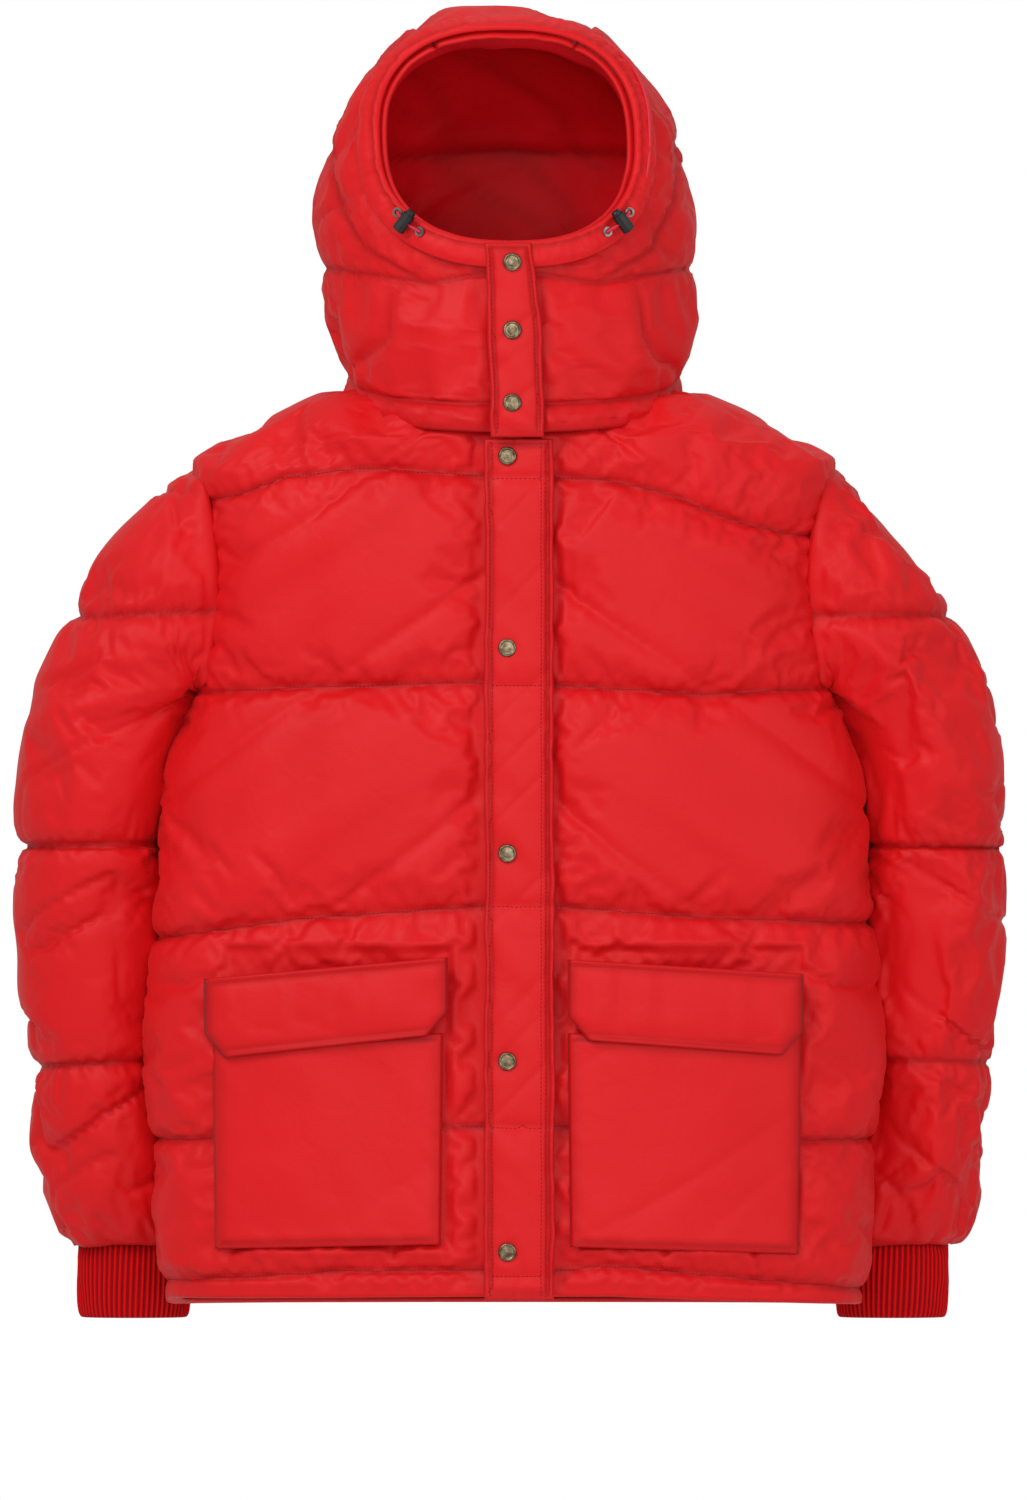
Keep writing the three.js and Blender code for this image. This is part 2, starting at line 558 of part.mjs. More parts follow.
// the box and pin at the foot of the zip
const boxFoot = zipBottom - 9;
place('zip_box', blockAt(ZIP_X - 5.5, ZIP_X + GAP, boxFoot, zipBottom - GAP, zipLine - 3, zipLine + 3),
  brass());
place('zip_pin', blockAt(ZIP_X + 2 * GAP, ZIP_X + 5.5, boxFoot + 1, zipBottom - GAP,
  zipLine - 2.6, zipLine + 2.6), brass());

// ---------- flaps over and under the zip ----------
// the guard behind the zip is sewn to the left panel along its thick edge
const underBack = -UNDER_FLAP.depth - UNDER_FLAP.thickness;
const underRight = ZIP_X + UNDER_FLAP.width / 2;
const underFoot = hemZ + 14;
const guardSheet = slab(ZIP_X - UNDER_FLAP.width / 2, underRight, underFoot, ZIP_TOP + 6,
  underBack, -UNDER_FLAP.depth);
const guardSeam = slab(underRight - UNDER_FLAP.seam, underRight, underFoot, ZIP_TOP + 6,
  underBack, -WALL - 2 * GAP);
place('under_flap', guardSheet.add(guardSeam), shellRed());

const flapOut = STORM_FLAP.stand + STORM_FLAP.thickness;
let stormFlap = slab(STORM_FLAP.left, STORM_FLAP.right, hemZ + 1, STORM_FLAP.top,
  STORM_FLAP.stand, flapOut);
bodySnaps.forEach((snap, i) => {
  stormFlap = stormFlap.subtract(snap.flapCut);
  place(`snap_cap_${i + 1}`, snap.cap, brass());
  place(`snap_stud_${i + 1}`, snap.stud, brass());
});
place('storm_flap', stormFlap, shellRed());

// ---------- patch pockets ----------
const mirrored = (outline, sign) => (sign > 0 ? outline : outline.map(([x, z]) => [-x, z]).reverse());
for (const { name, sign } of sides) {
  const { inner, outer, top, bottom, wall: cloth, hem } = POCKET;
  const pouchOutline = mirrored([[inner, bottom + 4], [outer - 4, bottom - 3], [outer + 3, top],
    [inner, top]], sign);
  const hollow = mirrored([[inner + hem, bottom + 4 + hem], [outer - 4 - hem, bottom - 3 + hem],
    [outer + 3 - hem, top + 5], [inner + hem, top + 5]], sign);
  const pouch = torso.layer(pouchOutline, GAP, POCKET.depth)
    .subtract(torso.layer(hollow, GAP + cloth, POCKET.depth - cloth));
  place(`pocket_${name}`, pouch, shellRed());

  const f = POCKET_FLAP;
  const flapOutline = mirrored([[f.inner, f.top - 0.75 * f.height], [f.inner + f.chamfer, f.top
    - f.height], [f.outer - f.chamfer, f.top - f.drop - f.height], [f.outer, f.top - f.drop
    - 0.65 * f.height], [f.outer, f.top - f.drop], [f.inner, f.top]], sign);
  const rootOutline = mirrored([[f.inner, f.top - POCKET_FLAP_ROOT], [f.outer, f.top - f.drop
    - POCKET_FLAP_ROOT], [f.outer, f.top - f.drop], [f.inner, f.top]], sign);
  const face = torso.layer(flapOutline, POCKET_FLAP_STAND, POCKET_FLAP_STAND + POCKET_FLAP_WALL);
  const root = torso.layer(rootOutline, 2 * GAP, POCKET_FLAP_STAND + 1);
  place(`pocket_flap_${name}`, face.add(root), shellRed());
}

// ---------- hood ----------
const rim = (grow) => oval(FACE.x + grow, FACE.z + grow, FACE.centreZ, 24, FACE.sharpness);
// the neck edge is a sloping plane, low in front, and the whole hood clears the torso below it
const neckEdge = (rise) => {
  const front = -hoodBase - 20;
  const back = 200;
  const slope = (HOOD_EDGE.back - HOOD_EDGE.front) / (hoodBase + 110);
  const at = (y) => HOOD_EDGE.front + rise + slope * (y + hoodBase);
  const profile = new THREE.Shape([
    new THREE.Vector2(front, -200), new THREE.Vector2(back, -200),
    new THREE.Vector2(back, at(back)), new THREE.Vector2(front, at(front)),
  ]);
  const geometry = new THREE.ExtrudeGeometry(profile, { depth: 800, bevelEnabled: false });
  geometry.rotateX(Math.PI / 2);
  geometry.rotateZ(Math.PI / 2);
  geometry.translate(-400, 0, 0);
  return solid(geometry);
};
const clearOfTorso = torso.body(MOVING_GAP, 0, 1).add(neckEdge(0));
const faceCut = prism(rim(0), -400, 0);
const hoodWall = hood.body(0).subtract(hood.body(-HOOD_WALL, 6, -HOOD_WALL))
  .subtract(faceCut).subtract(clearOfTorso);
const chinSlit = box(ZIP_X - 1, ZIP_X + 1, -400, 0, -200, FACE.centreZ);

// the centre gusset narrows from the brow to the nape
const gussetOutline = (grow) => {
  const shape = new THREE.Shape([[-1, -1], [1, -1], [1, 1], [-1, 1]].map(([x, end]) => {
    const halfWidth = (end < 0 ? GUSSET.brow : GUSSET.nape) / 2 + grow;
    return new THREE.Vector2(x * halfWidth, end * 260);
  }));
  const geometry = new THREE.ExtrudeGeometry(shape, { depth: 600, bevelEnabled: false });
  geometry.translate(0, 0, -100);
  return solid(geometry);
};
// only the crown and the back belong to the gusset, not the chin
const chinBlock = box(-400, 400, -400, -20, -200, FACE.centreZ);
const gussetCut = gussetOutline(0).subtract(chinBlock);
const gussetRoom = gussetOutline(GAP).subtract(
  box(-400, 400, -400, -20 - GAP, -200, FACE.centreZ));
const hoodSides = hoodWall.subtract(gussetRoom).subtract(chinSlit);
let hoodRight = hoodSides.intersect(box(-400, ZIP_X, -400, 400, -200, 400))
  .subtract(box(0, ZIP_X + 1, -20, 400, -200, 400));
const hoodLeft = hoodSides.intersect(box(ZIP_X, 400, -400, 400, -200, 400))
  .add(hoodSides.intersect(box(0, ZIP_X, -20, 400, -200, 400)));
hoodSnaps.forEach((snap) => { hoodRight = hoodRight.subtract(snap.shellCut); });
place('hood_side_right', hoodRight, shellRed());
place('hood_side_left', hoodLeft, shellRed());
place('hood_gusset', hoodWall.intersect(gussetCut), shellRed());

// band around the hood's neck edge, on its outside
const bandZone = neckEdge(BAND.height).subtract(clearOfTorso);
const bandSlit = box(ZIP_X - 1, ZIP_X + 1, -400, 0, -200, 100);
const flapRoom = hood.layer([[HOOD_FLAP.left - 2, -80], [HOOD_FLAP.right + 2, -80],
  [HOOD_FLAP.right + 2, HOOD_FLAP.top], [HOOD_FLAP.left - 2, HOOD_FLAP.top]], -1, 14);
const band = hood.body(BAND.thickness + GAP, 4, 0).subtract(hood.body(GAP, 9, 0))
  .intersect(bandZone).subtract(bandSlit).subtract(flapRoom);
place('hood_neck_band', band, shellRed());

// the tunnel for the drawcord runs round the face opening
const tunnelTop = TUNNEL.stand + TUNNEL.thickness;
const ringLayer = (inner, outer, from, to) => hood.layer(rim(outer), from, to)
  .subtract(prism(rim(inner), -400, 0));
const channelMiddle = TUNNEL.stand + TUNNEL.thickness / 2;
// it stays on the front of the hood, and stops short of the hood flap
const tunnel = ringLayer(0, TUNNEL.width, TUNNEL.stand, tunnelTop)
  .intersect(box(-400, 400, -400, -30, -200, 400)).subtract(flapRoom);

// the hood's own front flap, on three snaps
let hoodFlap = hood.layer([[HOOD_FLAP.left, HOOD_FLAP.bottom], [HOOD_FLAP.right, HOOD_FLAP.bottom],
  [HOOD_FLAP.right, HOOD_FLAP.top], [HOOD_FLAP.left, HOOD_FLAP.top]], STORM_FLAP.stand, flapOut);
hoodSnaps.forEach((snap, i) => {
  hoodFlap = hoodFlap.subtract(snap.flapCut);
  place(`hood_snap_cap_${i + 1}`, snap.cap, brass());
  place(`hood_snap_stud_${i + 1}`, snap.stud, brass());
});
place('hood_flap', hoodFlap, shellRed());

// lining inside the hood
const liningOffset = -HOOD_WALL - LINING_CLEARANCE;
const hoodLining = hood.body(liningOffset, 4, -HOOD_WALL - 2)
  .subtract(hood.body(liningOffset - LINING_WALL, 9, -HOOD_WALL - 2 - LINING_WALL))
  .subtract(prism(rim(1), -400, 0)).subtract(torso.body(MOVING_GAP, 0, 8)).subtract(neckEdge(4))
  .subtract(box(ZIP_X - 8, ZIP_X + 8, -400, 0, -200, FACE.centreZ));
place('hood_lining', hoodLining, liningRed());

// eyelets, two on each side of the chin, with a cord lock between them
const onHood = (x, z, offset) => new THREE.Vector3(x, hood.frontY(x, z, offset), z);
const fittings = sides.map(({ name, sign }) => {
  const [upper, lower] = EYELET_SPOTS.map(([x, z]) => onHood(sign * x, z, tunnelTop));
  const outward = hood.facing((upper.x + lower.x) / 2, (upper.z + lower.z) / 2);
  const along = lower.clone().sub(upper).normalize();
  outward.addScaledVector(along, -outward.dot(along)).normalize();
  const axis = new THREE.Vector3().crossVectors(along, outward);
  if (axis.z < 0) axis.negate();
  const centre = upper.clone().add(lower).multiplyScalar(0.5)
    .addScaledVector(outward, LOCK.radius + LOCK.stand);
  return { name, sign, upper, lower, outward, along, axis, centre };
});

// the drawcord: from its sewn end at one side of the chin out of the lower eyelet, through the
// lock, in at the upper eyelet, over the brow inside the tunnel, and the same on the other side
const inChannel = (x, z) => onHood(x, z, channelMiddle);
const browPoints = [];
for (let degrees = -24; degrees <= 204; degrees += 19) {
  const angle = THREE.MathUtils.degToRad(degrees);
  browPoints.push(inChannel(
    (FACE.x + TUNNEL.width / 2) * power(Math.cos(angle), 2 / FACE.sharpness),
    FACE.centreZ + (FACE.z + TUNNEL.width / 2) * power(Math.sin(angle), 2 / FACE.sharpness),
  ));
}
const chinRun = ({ sign, upper, lower, outward, along, centre }) => {
  const rise = (spot, height) => spot.clone().addScaledVector(outward, height);
  return [
    inChannel(sign * (EYELET_SPOTS[1][0] - 10), EYELET_SPOTS[1][1] - 5),
    rise(lower, -2.4), rise(lower, 2),
    centre.clone().addScaledVector(along, 6.5),
    centre.clone(),
    centre.clone().addScaledVector(along, -6.5),
    rise(upper, 2), rise(upper, -2.4),
  ];
};
const [leftFitting, rightFitting] = fittings;
const route = [...chinRun(leftFitting), ...browPoints, ...chinRun(rightFitting).reverse()];
const cordCurve = new THREE.CatmullRomCurve3(route, false, 'centripetal');
function cordTube(radius, sides) {
  const section = new THREE.Shape();
  section.absarc(0, 0, radius, 0, 2 * Math.PI);
  return solid(new THREE.ExtrudeGeometry(section,
    { extrudePath: cordCurve, steps: CORD_STEPS, curveSegments: sides / 2, bevelEnabled: false }));
}
place('drawcord', cordTube(CORD_DIAMETER / 2, 8), cordRed());
const cordRoom = cordTube(CORD_DIAMETER / 2 + CORD_CLEARANCE, 6);

const eyeletProfile = [
  [EYELET.bore, -1.2], [EYELET.barrel, -1.2], [EYELET.barrel, GAP], [EYELET.outer, GAP],
  [EYELET.outer, EYELET.height], [EYELET.bore, EYELET.height], [EYELET.bore, -1.2],
];
const eyeletCut = [[0, -2], [EYELET.barrel + GAP, -2], [EYELET.barrel + GAP, 0],
  [EYELET.outer + 1, 0], [EYELET.outer + 1, 6], [0, 6]];
let fittedTunnel = tunnel.subtract(cordRoom);
for (const { name, upper, lower, outward, along, axis, centre } of fittings) {
  for (const [spot, where] of [[upper, 'upper'], [lower, 'lower']]) {
    const eyelet = lathe(eyeletProfile, spot, outward, 8);
    place(`eyelet_${name}_${where}`, eyelet.subtract(cordRoom), nickel());
    fittedTunnel = fittedTunnel.subtract(lathe(eyeletCut, spot, outward, 8));
  }
  const foot = centre.clone().addScaledVector(axis, -LOCK.length / 2);
  const barrel = lathe([
    [0, 0], [LOCK.radius - 0.8, 0], [LOCK.radius, 1], [LOCK.radius, LOCK.length - PLUNGER.head],
    [PLUNGER.radius + GAP, LOCK.length - PLUNGER.head], [PLUNGER.radius + GAP, 2], [0, 2],
  ], foot, axis, 10);
  place(`cord_lock_${name}`, barrel.subtract(cordRoom), blackPlastic());
  // the plunger is pushed in against its spring, so its slot is longer than the cord is thick
  const plunger = lathe([
    [0, 2 + PLUNGER.travel + GAP], [PLUNGER.radius, 2 + PLUNGER.travel + GAP],
    [PLUNGER.radius, LOCK.length - 0.5], [PLUNGER.radius - 1, LOCK.length + 1],
    [0, LOCK.length + 1.3],
  ], foot, axis, 10);
  const slotHalf = CORD_DIAMETER / 2 + CORD_CLEARANCE;
  const slot = new THREE.BoxGeometry(40, PLUNGER.travel + 2 * slotHalf, 2 * slotHalf);
  slot.applyMatrix4(new THREE.Matrix4().makeBasis(along, axis,
    new THREE.Vector3().crossVectors(along, axis)));
  const slotMiddle = centre.clone().addScaledVector(axis, PLUNGER.travel / 2);
  slot.translate(slotMiddle.x, slotMiddle.y, slotMiddle.z);
  place(`cord_plunger_${name}`, plunger.subtract(solid(slot)), blackPlastic());
}
place('hood_tunnel', fittedTunnel, shellRed());

// ---------- a plain round stud on the outside of the left sleeve ----------
const badgeNormal = new THREE.Vector3(77, 0, 25).normalize();
const badgeEdge = new THREE.Vector3(armX + 101 + 25 * BADGE.share, 6,
  -118 - SHOULDER_DROP + (sleeveStretch(-265) + 118 + SHOULDER_DROP) * BADGE.share);
place('sleeve_badge', lathe([[0, 0], [BADGE.radius, 0], [BADGE.radius - 1, BADGE.height],
  [0, BADGE.height]], badgeEdge.addScaledVector(badgeNormal, GAP), badgeNormal, 12), brass());

export default jacket;
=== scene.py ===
# %% [markdown]
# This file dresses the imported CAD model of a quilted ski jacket. Every measure in it is in
# millimetres until the last moment, because a pattern cutter thinks in millimetres.
# The jacket hangs upright: +Z is up, the front faces -Y and the wearer's left is +X.

# %% Load the frame
import math

import bpy
import numpy as np
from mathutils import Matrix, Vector
from mathutils.bvhtree import BVHTree


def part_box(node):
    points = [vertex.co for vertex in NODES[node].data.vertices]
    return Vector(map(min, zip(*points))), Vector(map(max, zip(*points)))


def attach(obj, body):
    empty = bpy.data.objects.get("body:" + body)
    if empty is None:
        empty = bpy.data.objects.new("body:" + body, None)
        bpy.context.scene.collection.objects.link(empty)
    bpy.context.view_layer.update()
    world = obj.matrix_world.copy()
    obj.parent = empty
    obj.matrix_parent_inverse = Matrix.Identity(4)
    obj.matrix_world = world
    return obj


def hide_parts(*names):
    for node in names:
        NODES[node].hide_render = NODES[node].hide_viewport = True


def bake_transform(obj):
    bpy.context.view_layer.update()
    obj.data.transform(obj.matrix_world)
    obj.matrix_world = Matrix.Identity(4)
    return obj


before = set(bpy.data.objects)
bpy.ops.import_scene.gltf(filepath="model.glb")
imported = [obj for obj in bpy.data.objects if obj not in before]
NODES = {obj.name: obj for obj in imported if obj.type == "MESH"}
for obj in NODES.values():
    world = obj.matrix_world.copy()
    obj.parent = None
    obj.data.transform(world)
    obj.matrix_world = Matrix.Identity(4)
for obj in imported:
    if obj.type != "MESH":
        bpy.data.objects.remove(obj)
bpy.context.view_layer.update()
LOOP_BACK = 76.208  # the hang loop is the origin, and lies this far behind the shell's middle

# %% [markdown]
# The camera looks straight at the front from far away, as a shop's camera does, so that the sleeves
# and the hood keep their true widths. The background and the light are white and soft: one broad
# key from the upper left makes the puffs read, and weaker lights from the right, the front and the
# top keep the shadows open.

# %% Camera, light and floor
VIEW_HEIGHT = 1215.0
VIEW_CENTRE = -296.0
VIEW_DISTANCE = 20000.0
scene = bpy.context.scene
camera_data = bpy.data.cameras.new("front_camera")
camera_data.sensor_fit = "VERTICAL"
camera_data.sensor_height = 36.0
camera_data.lens = 36.0 * (VIEW_DISTANCE - 190) / VIEW_HEIGHT
camera_data.clip_end = 50.0
camera = bpy.data.objects.new("front_camera", camera_data)
camera.location = (0, -VIEW_DISTANCE / 1000 - LOOP_BACK / 1000, VIEW_CENTRE / 1000)
camera.rotation_euler = (math.pi / 2, 0, 0)
scene.collection.objects.link(camera)
scene.camera = camera


def soft_light(name, place, power, size):
    data = bpy.data.lights.new(name, "AREA")
    data.energy = power
    data.shape = "SQUARE"
    data.size = size
    lamp = bpy.data.objects.new(name, data)
    lamp.location = place
    lamp.rotation_euler = (Vector((0, 0, -0.35)) - Vector(place)).to_track_quat("-Z", "Y").to_euler()
    scene.collection.objects.link(lamp)


soft_light("key_light", (-1.7, -2.7, 1.7), 45, 1.5)
soft_light("fill_light", (2.4, -2.6, 0.1), 15, 1.8)
soft_light("front_light", (0.1, -3.4, 0.15), 19, 1.2)
soft_light("top_light", (0.2, 0.4, 2.3), 8, 1.8)


def add(tree, kind, inputs=None, **settings):
    """One node with its settings, values and links."""
    made = tree.nodes.new(kind)
    for key, value in settings.items():
        setattr(made, key, value)
    for key, value in (inputs or {}).items():
        if isinstance(value, bpy.types.NodeSocket):
            tree.links.new(value, made.inputs[key])
        else:
            made.inputs[key].default_value = value
    return made


world = bpy.data.worlds.new("white_studio")
world.use_nodes = True
world.node_tree.nodes.clear()
seen = add(world.node_tree, "ShaderNodeLightPath")
strength = add(world.node_tree, "ShaderNodeMapRange",
               {"Value": seen.outputs["Is Camera Ray"], "To Min": 0.47, "To Max": 1.0})
sky = add(world.node_tree, "ShaderNodeBackground",
          {"Color": (1, 1, 1, 1), "Strength": strength.outputs["Result"]})
add(world.node_tree, "ShaderNodeOutputWorld", {"Surface": sky.outputs["Background"]})
scene.world = world
scene.view_settings.view_transform = "Standard"
scene.view_settings.look = "None"

# %% [markdown]
# ## Cloth and metal
# The shell is a tightly woven nylon taffeta: a smooth, thin cloth whose yarns are too fine to
# see, with a low silky sheen. It takes its character from fine crumples, which are a bump, and
# from the puffs and folds, which are real geometry. An attribute on each skin paints shade into the
# colour: the cloth is painted darker along the seams and in the fold creases, where shade falls.


# %% Colours
def linear(code):
    """An sRGB hex colour as linear RGBA."""
    parts = [int(code[i:i + 2], 16) / 255 for i in (0, 2, 4)]
    return tuple(c / 12.92 if c <= 0.04045 else ((c + 0.055) / 1.055) ** 2.4 for c in parts) + (1.0,)


# %% A cloth material
def cloth(name, lit, painted_shade, rough, sheen, crumple_mm, crumple_depth, weave_mm, weave_depth):
    """A woven or knitted cloth with painted shade: lit is its colour on crests, and the second colour is the
    painted shade that the mesh's mark mixes in along seams, creases and grooves.
    """
    made = bpy.data.materials.new(name)
    made.use_nodes = True
    tree = made.node_tree
    tree.nodes.clear()
    place = add(tree, "ShaderNodeTexCoord").outputs["Object"]
    # the tone wanders at random with a noise, and the mesh's mark adds painted shade in seams, creases and
    # grooves
    shade_paint = add(tree, "ShaderNodeAttribute", attribute_name="painted_shade").outputs["Fac"]
    mottle = add(tree, "ShaderNodeTexNoise", {"Vector": place, "Scale": 9.0, "Detail": 3.0})
    shade = add(tree, "ShaderNodeMath", {0: mottle.outputs["Fac"], 1: 0.30, 2: shade_paint},
                operation="MULTIPLY_ADD")
    tone = add(tree, "ShaderNodeValToRGB", {"Fac": shade.outputs["Value"]})
    tone.color_ramp.elements[0].position = 0.05
    tone.color_ramp.elements[0].color = linear(lit)
    tone.color_ramp.elements[1].position = 0.95
    tone.color_ramp.elements[1].color = linear(painted_shade)
    crumple = add(tree, "ShaderNodeTexNoise",
                  {"Vector": place, "Scale": 1000.0 / crumple_mm, "Detail": 3.0,
                   "Roughness": 0.55, "Distortion": 0.6})
    weave = add(tree, "ShaderNodeTexNoise",
                {"Vector": place, "Scale": 1000.0 / weave_mm, "Detail": 1.0})
    fine = add(tree, "ShaderNodeBump", {"Height": weave.outputs["Fac"], "Strength": 0.6,
                                        "Distance": weave_depth / 1000})
    bump = add(tree, "ShaderNodeBump",
               {"Height": crumple.outputs["Fac"], "Strength": 0.8,
                "Distance": crumple_depth / 1000, "Normal": fine.outputs["Normal"]})
    gloss = add(tree, "ShaderNodeMapRange",
                {"Value": mottle.outputs["Fac"], "To Min": rough - 0.05, "To Max": rough + 0.07})
    skin = add(tree, "ShaderNodeBsdfPrincipled",
               {"Base Color": tone.outputs["Color"], "Roughness": gloss.outputs["Result"],
                "Normal": bump.outputs["Normal"], "Sheen Weight": sheen,
                "Sheen Roughness": 0.45, "Specular IOR Level": 0.22, "IOR": 1.5})
    skin.inputs["Sheen Tint"].default_value = linear("FF8A80")
    add(tree, "ShaderNodeOutputMaterial", {"Surface": skin.outputs["BSDF"]})
    return made


# each cloth's second colour is its painted shade, used where the mesh marks seams, creases and grooves
NYLON_TAFFETA = cloth("nylon_taffeta", "E4151B", "BE070E", 0.50, 0.10, 22.0, 0.9, 1.6, 0.05)
LINING_TAFFETA = cloth("lining_taffeta", "E60818", "B40610", 0.62, 0.0, 30.0, 1.6, 1.6, 0.04)
RIB_KNIT = cloth("rib_knit_wool", "E8020A", "960005", 0.92, 0.0, 3.0, 0.35, 1.1, 0.2)
PIPING_CLOTH = cloth("piping_taffeta", "C8141C", "8C080E", 0.5, 0.2, 9.0, 0.5, 1.6, 0.05)
ZIP_TAPE_CLOTH = cloth("woven_zip_tape", "B00E18", "7C0810", 0.7, 0.2, 6.0, 0.2, 1.4, 0.12)
CORD_BRAID = cloth("braided_polyester", "E83A4C", "B01420", 0.6, 0.2, 2.0, 0.15, 0.9, 0.15)
THREAD = cloth("spun_polyester_thread", "A80C14", "7A060C", 0.55, 0.2, 2.0, 0.05, 0.8, 0.05)


# %% A metal or plastic material
def hard(name, lit, worn, metallic, rough, grain_mm, grain_depth):
    """A hard finish whose colour wanders between two tones and whose gloss is a little uneven."""
    made = bpy.data.materials.new(name)
    made.use_nodes = True
    tree = made.node_tree
    tree.nodes.clear()
    place = add(tree, "ShaderNodeTexCoord").outputs["Object"]
    cloud = add(tree, "ShaderNodeTexNoise", {"Vector": place, "Scale": 260.0, "Detail": 4.0})
    tone = add(tree, "ShaderNodeValToRGB", {"Fac": cloud.outputs["Fac"]})
    tone.color_ramp.elements[0].position = 0.35
    tone.color_ramp.elements[0].color = linear(lit)
    tone.color_ramp.elements[1].position = 0.65
    tone.color_ramp.elements[1].color = linear(worn)
    grain = add(tree, "ShaderNodeTexNoise", {"Vector": place, "Scale": 1000.0 / grain_mm})
    bump = add(tree, "ShaderNodeBump", {"Height": grain.outputs["Fac"], "Strength": 0.5,
                                        "Distance": grain_depth / 1000})
    gloss = add(tree, "ShaderNodeMapRange",
                {"Value": cloud.outputs["Fac"], "To Min": rough - 0.08, "To Max": rough + 0.1})
    skin = add(tree, "ShaderNodeBsdfPrincipled",
               {"Base Color": tone.outputs["Color"], "Metallic": metallic,
                "Roughness": gloss.outputs["Result"], "Normal": bump.outputs["Normal"]})
    add(tree, "ShaderNodeOutputMaterial", {"Surface": skin.outputs["BSDF"]})
    return made


ANTIQUE_BRASS = hard("antique_brass", "8E7F66", "5C4F3A", 1.0, 0.36, 0.5, 0.02)
DARK_NICKEL = hard("dark_nickel", "8C8884", "5E5A56", 1.0, 0.28, 0.5, 0.02)
BLACK_ACETAL = hard("black_acetal", "1E1E1F", "141415", 0.0, 0.42, 0.4, 0.03)

# %% [markdown]
# ## Shared tools
# A small value noise in numpy gives folds and puckers that are the same on every run. Meshes
# come from grids of points, because a grid keeps the rows of a skin parallel to its seams.


# %% Noise
def lattice(i, j, k, seed):
    n = (i.astype(np.int64) * 374761393 + j.astype(np.int64) * 668265263
         + k.astype(np.int64) * 1440662683 + seed * 97463477).astype(np.uint64)
    n = (n ^ (n >> np.uint64(13))) * np.uint64(1274126177)
    return ((n ^ (n >> np.uint64(16))) & np.uint64(0xFFFF)).astype(float) / 32767.5 - 1.0


def noise(a, b=0.0, c=0.0, seed=0):
    """Smooth noise from -1 to 1 at coordinates measured in cells."""
    a, b, c = np.broadcast_arrays(np.asarray(a, float), b, c)
    i, j, k = np.floor(a), np.floor(b), np.floor(c)
    u, v, w = a - i, b - j, c - k
    u, v, w = (t * t * t * (t * (6 * t - 15) + 10) for t in (u, v, w))
    total = np.zeros(a.shape)
    for di in (0, 1):
        for dj in (0, 1):
            for dk in (0, 1):
                share = (u if di else 1 - u) * (v if dj else 1 - v) * (w if dk else 1 - w)
                total += share * lattice(i + di, j + dj, k + dk, seed)
    return total


def crease(n, sharp=5.0):
    """0 on open cloth and 1 along the thin lines where the noise changes sign."""
    return (1 - np.abs(n)) ** sharp


def rise(t):
    t = np.clip(t, 0, 1)
    return t * t * (3 - 2 * t)


# %% Curves through stations
def through(xs, ys, at):
    """A smooth curve through points that never overshoots them (Fritsch and Carlson)."""
    xs, ys, at = np.asarray(xs, float), np.asarray(ys, float), np.asarray(at, float)
    h = np.diff(xs)
    slope = np.diff(ys) / h
    m = np.zeros(len(xs))
    m[0], m[-1] = slope[0], slope[-1]
    for i in range(1, len(xs) - 1):
        if slope[i - 1] * slope[i] > 0:
            w1, w2 = 2 * h[i] + h[i - 1], h[i] + 2 * h[i - 1]
            m[i] = (w1 + w2) / (w1 / slope[i - 1] + w2 / slope[i])
    i = np.clip(np.searchsorted(xs, at) - 1, 0, len(xs) - 2)
    t = np.clip((at - xs[i]) / h[i], 0, 1)
    return ((2 * t**3 - 3 * t**2 + 1) * ys[i] + (t**3 - 2 * t**2 + t) * h[i] * m[i]
            + (3 * t**2 - 2 * t**3) * ys[i + 1] + (t**3 - t**2) * h[i] * m[i + 1])


def power(value, exponent):
    return np.sign(value) * np.abs(value) ** exponent


def even(points, count):
    """The same open line, with count points spaced evenly along it."""
    points = np.asarray(points, float)
    run = np.r_[0, np.cumsum(np.linalg.norm(np.diff(points, axis=0), axis=1))]
    return np.stack([np.interp(np.linspace(0, run[-1], count), run, points[:, a])
                     for a in range(points.shape[1])], axis=1)


# %% Meshes from grids
def grid_faces(rows, columns, closed=False, first=0):
    """Quads over a grid of rows; closed joins the last column to the first."""
    r = np.arange(rows - 1)[:, None] * columns + first
    c = np.arange(columns if closed else columns - 1)[None, :]
    n = (c + 1) % columns
    return np.stack([r + c, r + n, r + columns + n, r + columns + c], axis=-1).reshape(-1, 4).tolist()


def piece(name, points, faces, material, painted_shade=None, smooth=True):
    """A mesh object from points in local millimetres, placed in the frame in metres."""
    points = np.asarray(points, float).reshape(-1, 3)
    placed = (points - np.array([0, LOOP_BACK, 0])) / 1000
    mesh = bpy.data.meshes.new(name)
    mesh.from_pydata(placed.tolist(), [], faces)
    mesh.materials.append(material)
    if painted_shade is not None:
        mark = mesh.attributes.new("painted_shade", "FLOAT", "POINT")
        mark.data.foreach_set("value", np.asarray(painted_shade, np.float32).ravel())
    mesh.polygons.foreach_set("use_smooth", [smooth] * len(mesh.polygons))
    mesh.update()
    made = bpy.data.objects.new(name, mesh)
    scene.collection.objects.link(made)
    return made


def normals_of(grid):
    """Unit normals of a grid of points, rows upward and columns turning left seen from above."""
    down = np.gradient(grid, axis=0)
    across = np.gradient(grid, axis=1)
    n = np.cross(across, down)
    return n / np.maximum(np.linalg.norm(n, axis=-1, keepdims=True), 1e-9)


def apply_all(obj):
    """The object's modifiers, made part of its mesh."""
    bpy.context.view_layer.update()
    graph = bpy.context.evaluated_depsgraph_get()
    mesh = bpy.data.meshes.new_from_object(obj.evaluated_get(graph), preserve_all_data_layers=True,
                                           depsgraph=graph)
    obj.modifiers.clear()
    obj.data = mesh
    return obj


def thicken(obj, thickness, inner=None):
    """Gives a single skin a wall on its inner side, so that it is a closed piece."""
    wall = obj.modifiers.new("wall", "SOLIDIFY")
    wall.thickness = thickness / 1000
    wall.offset = -1
    wall.use_even_offset = False
    if inner:
        obj.data.materials.append(inner)
        wall.material_offset = 1
    return apply_all(obj)


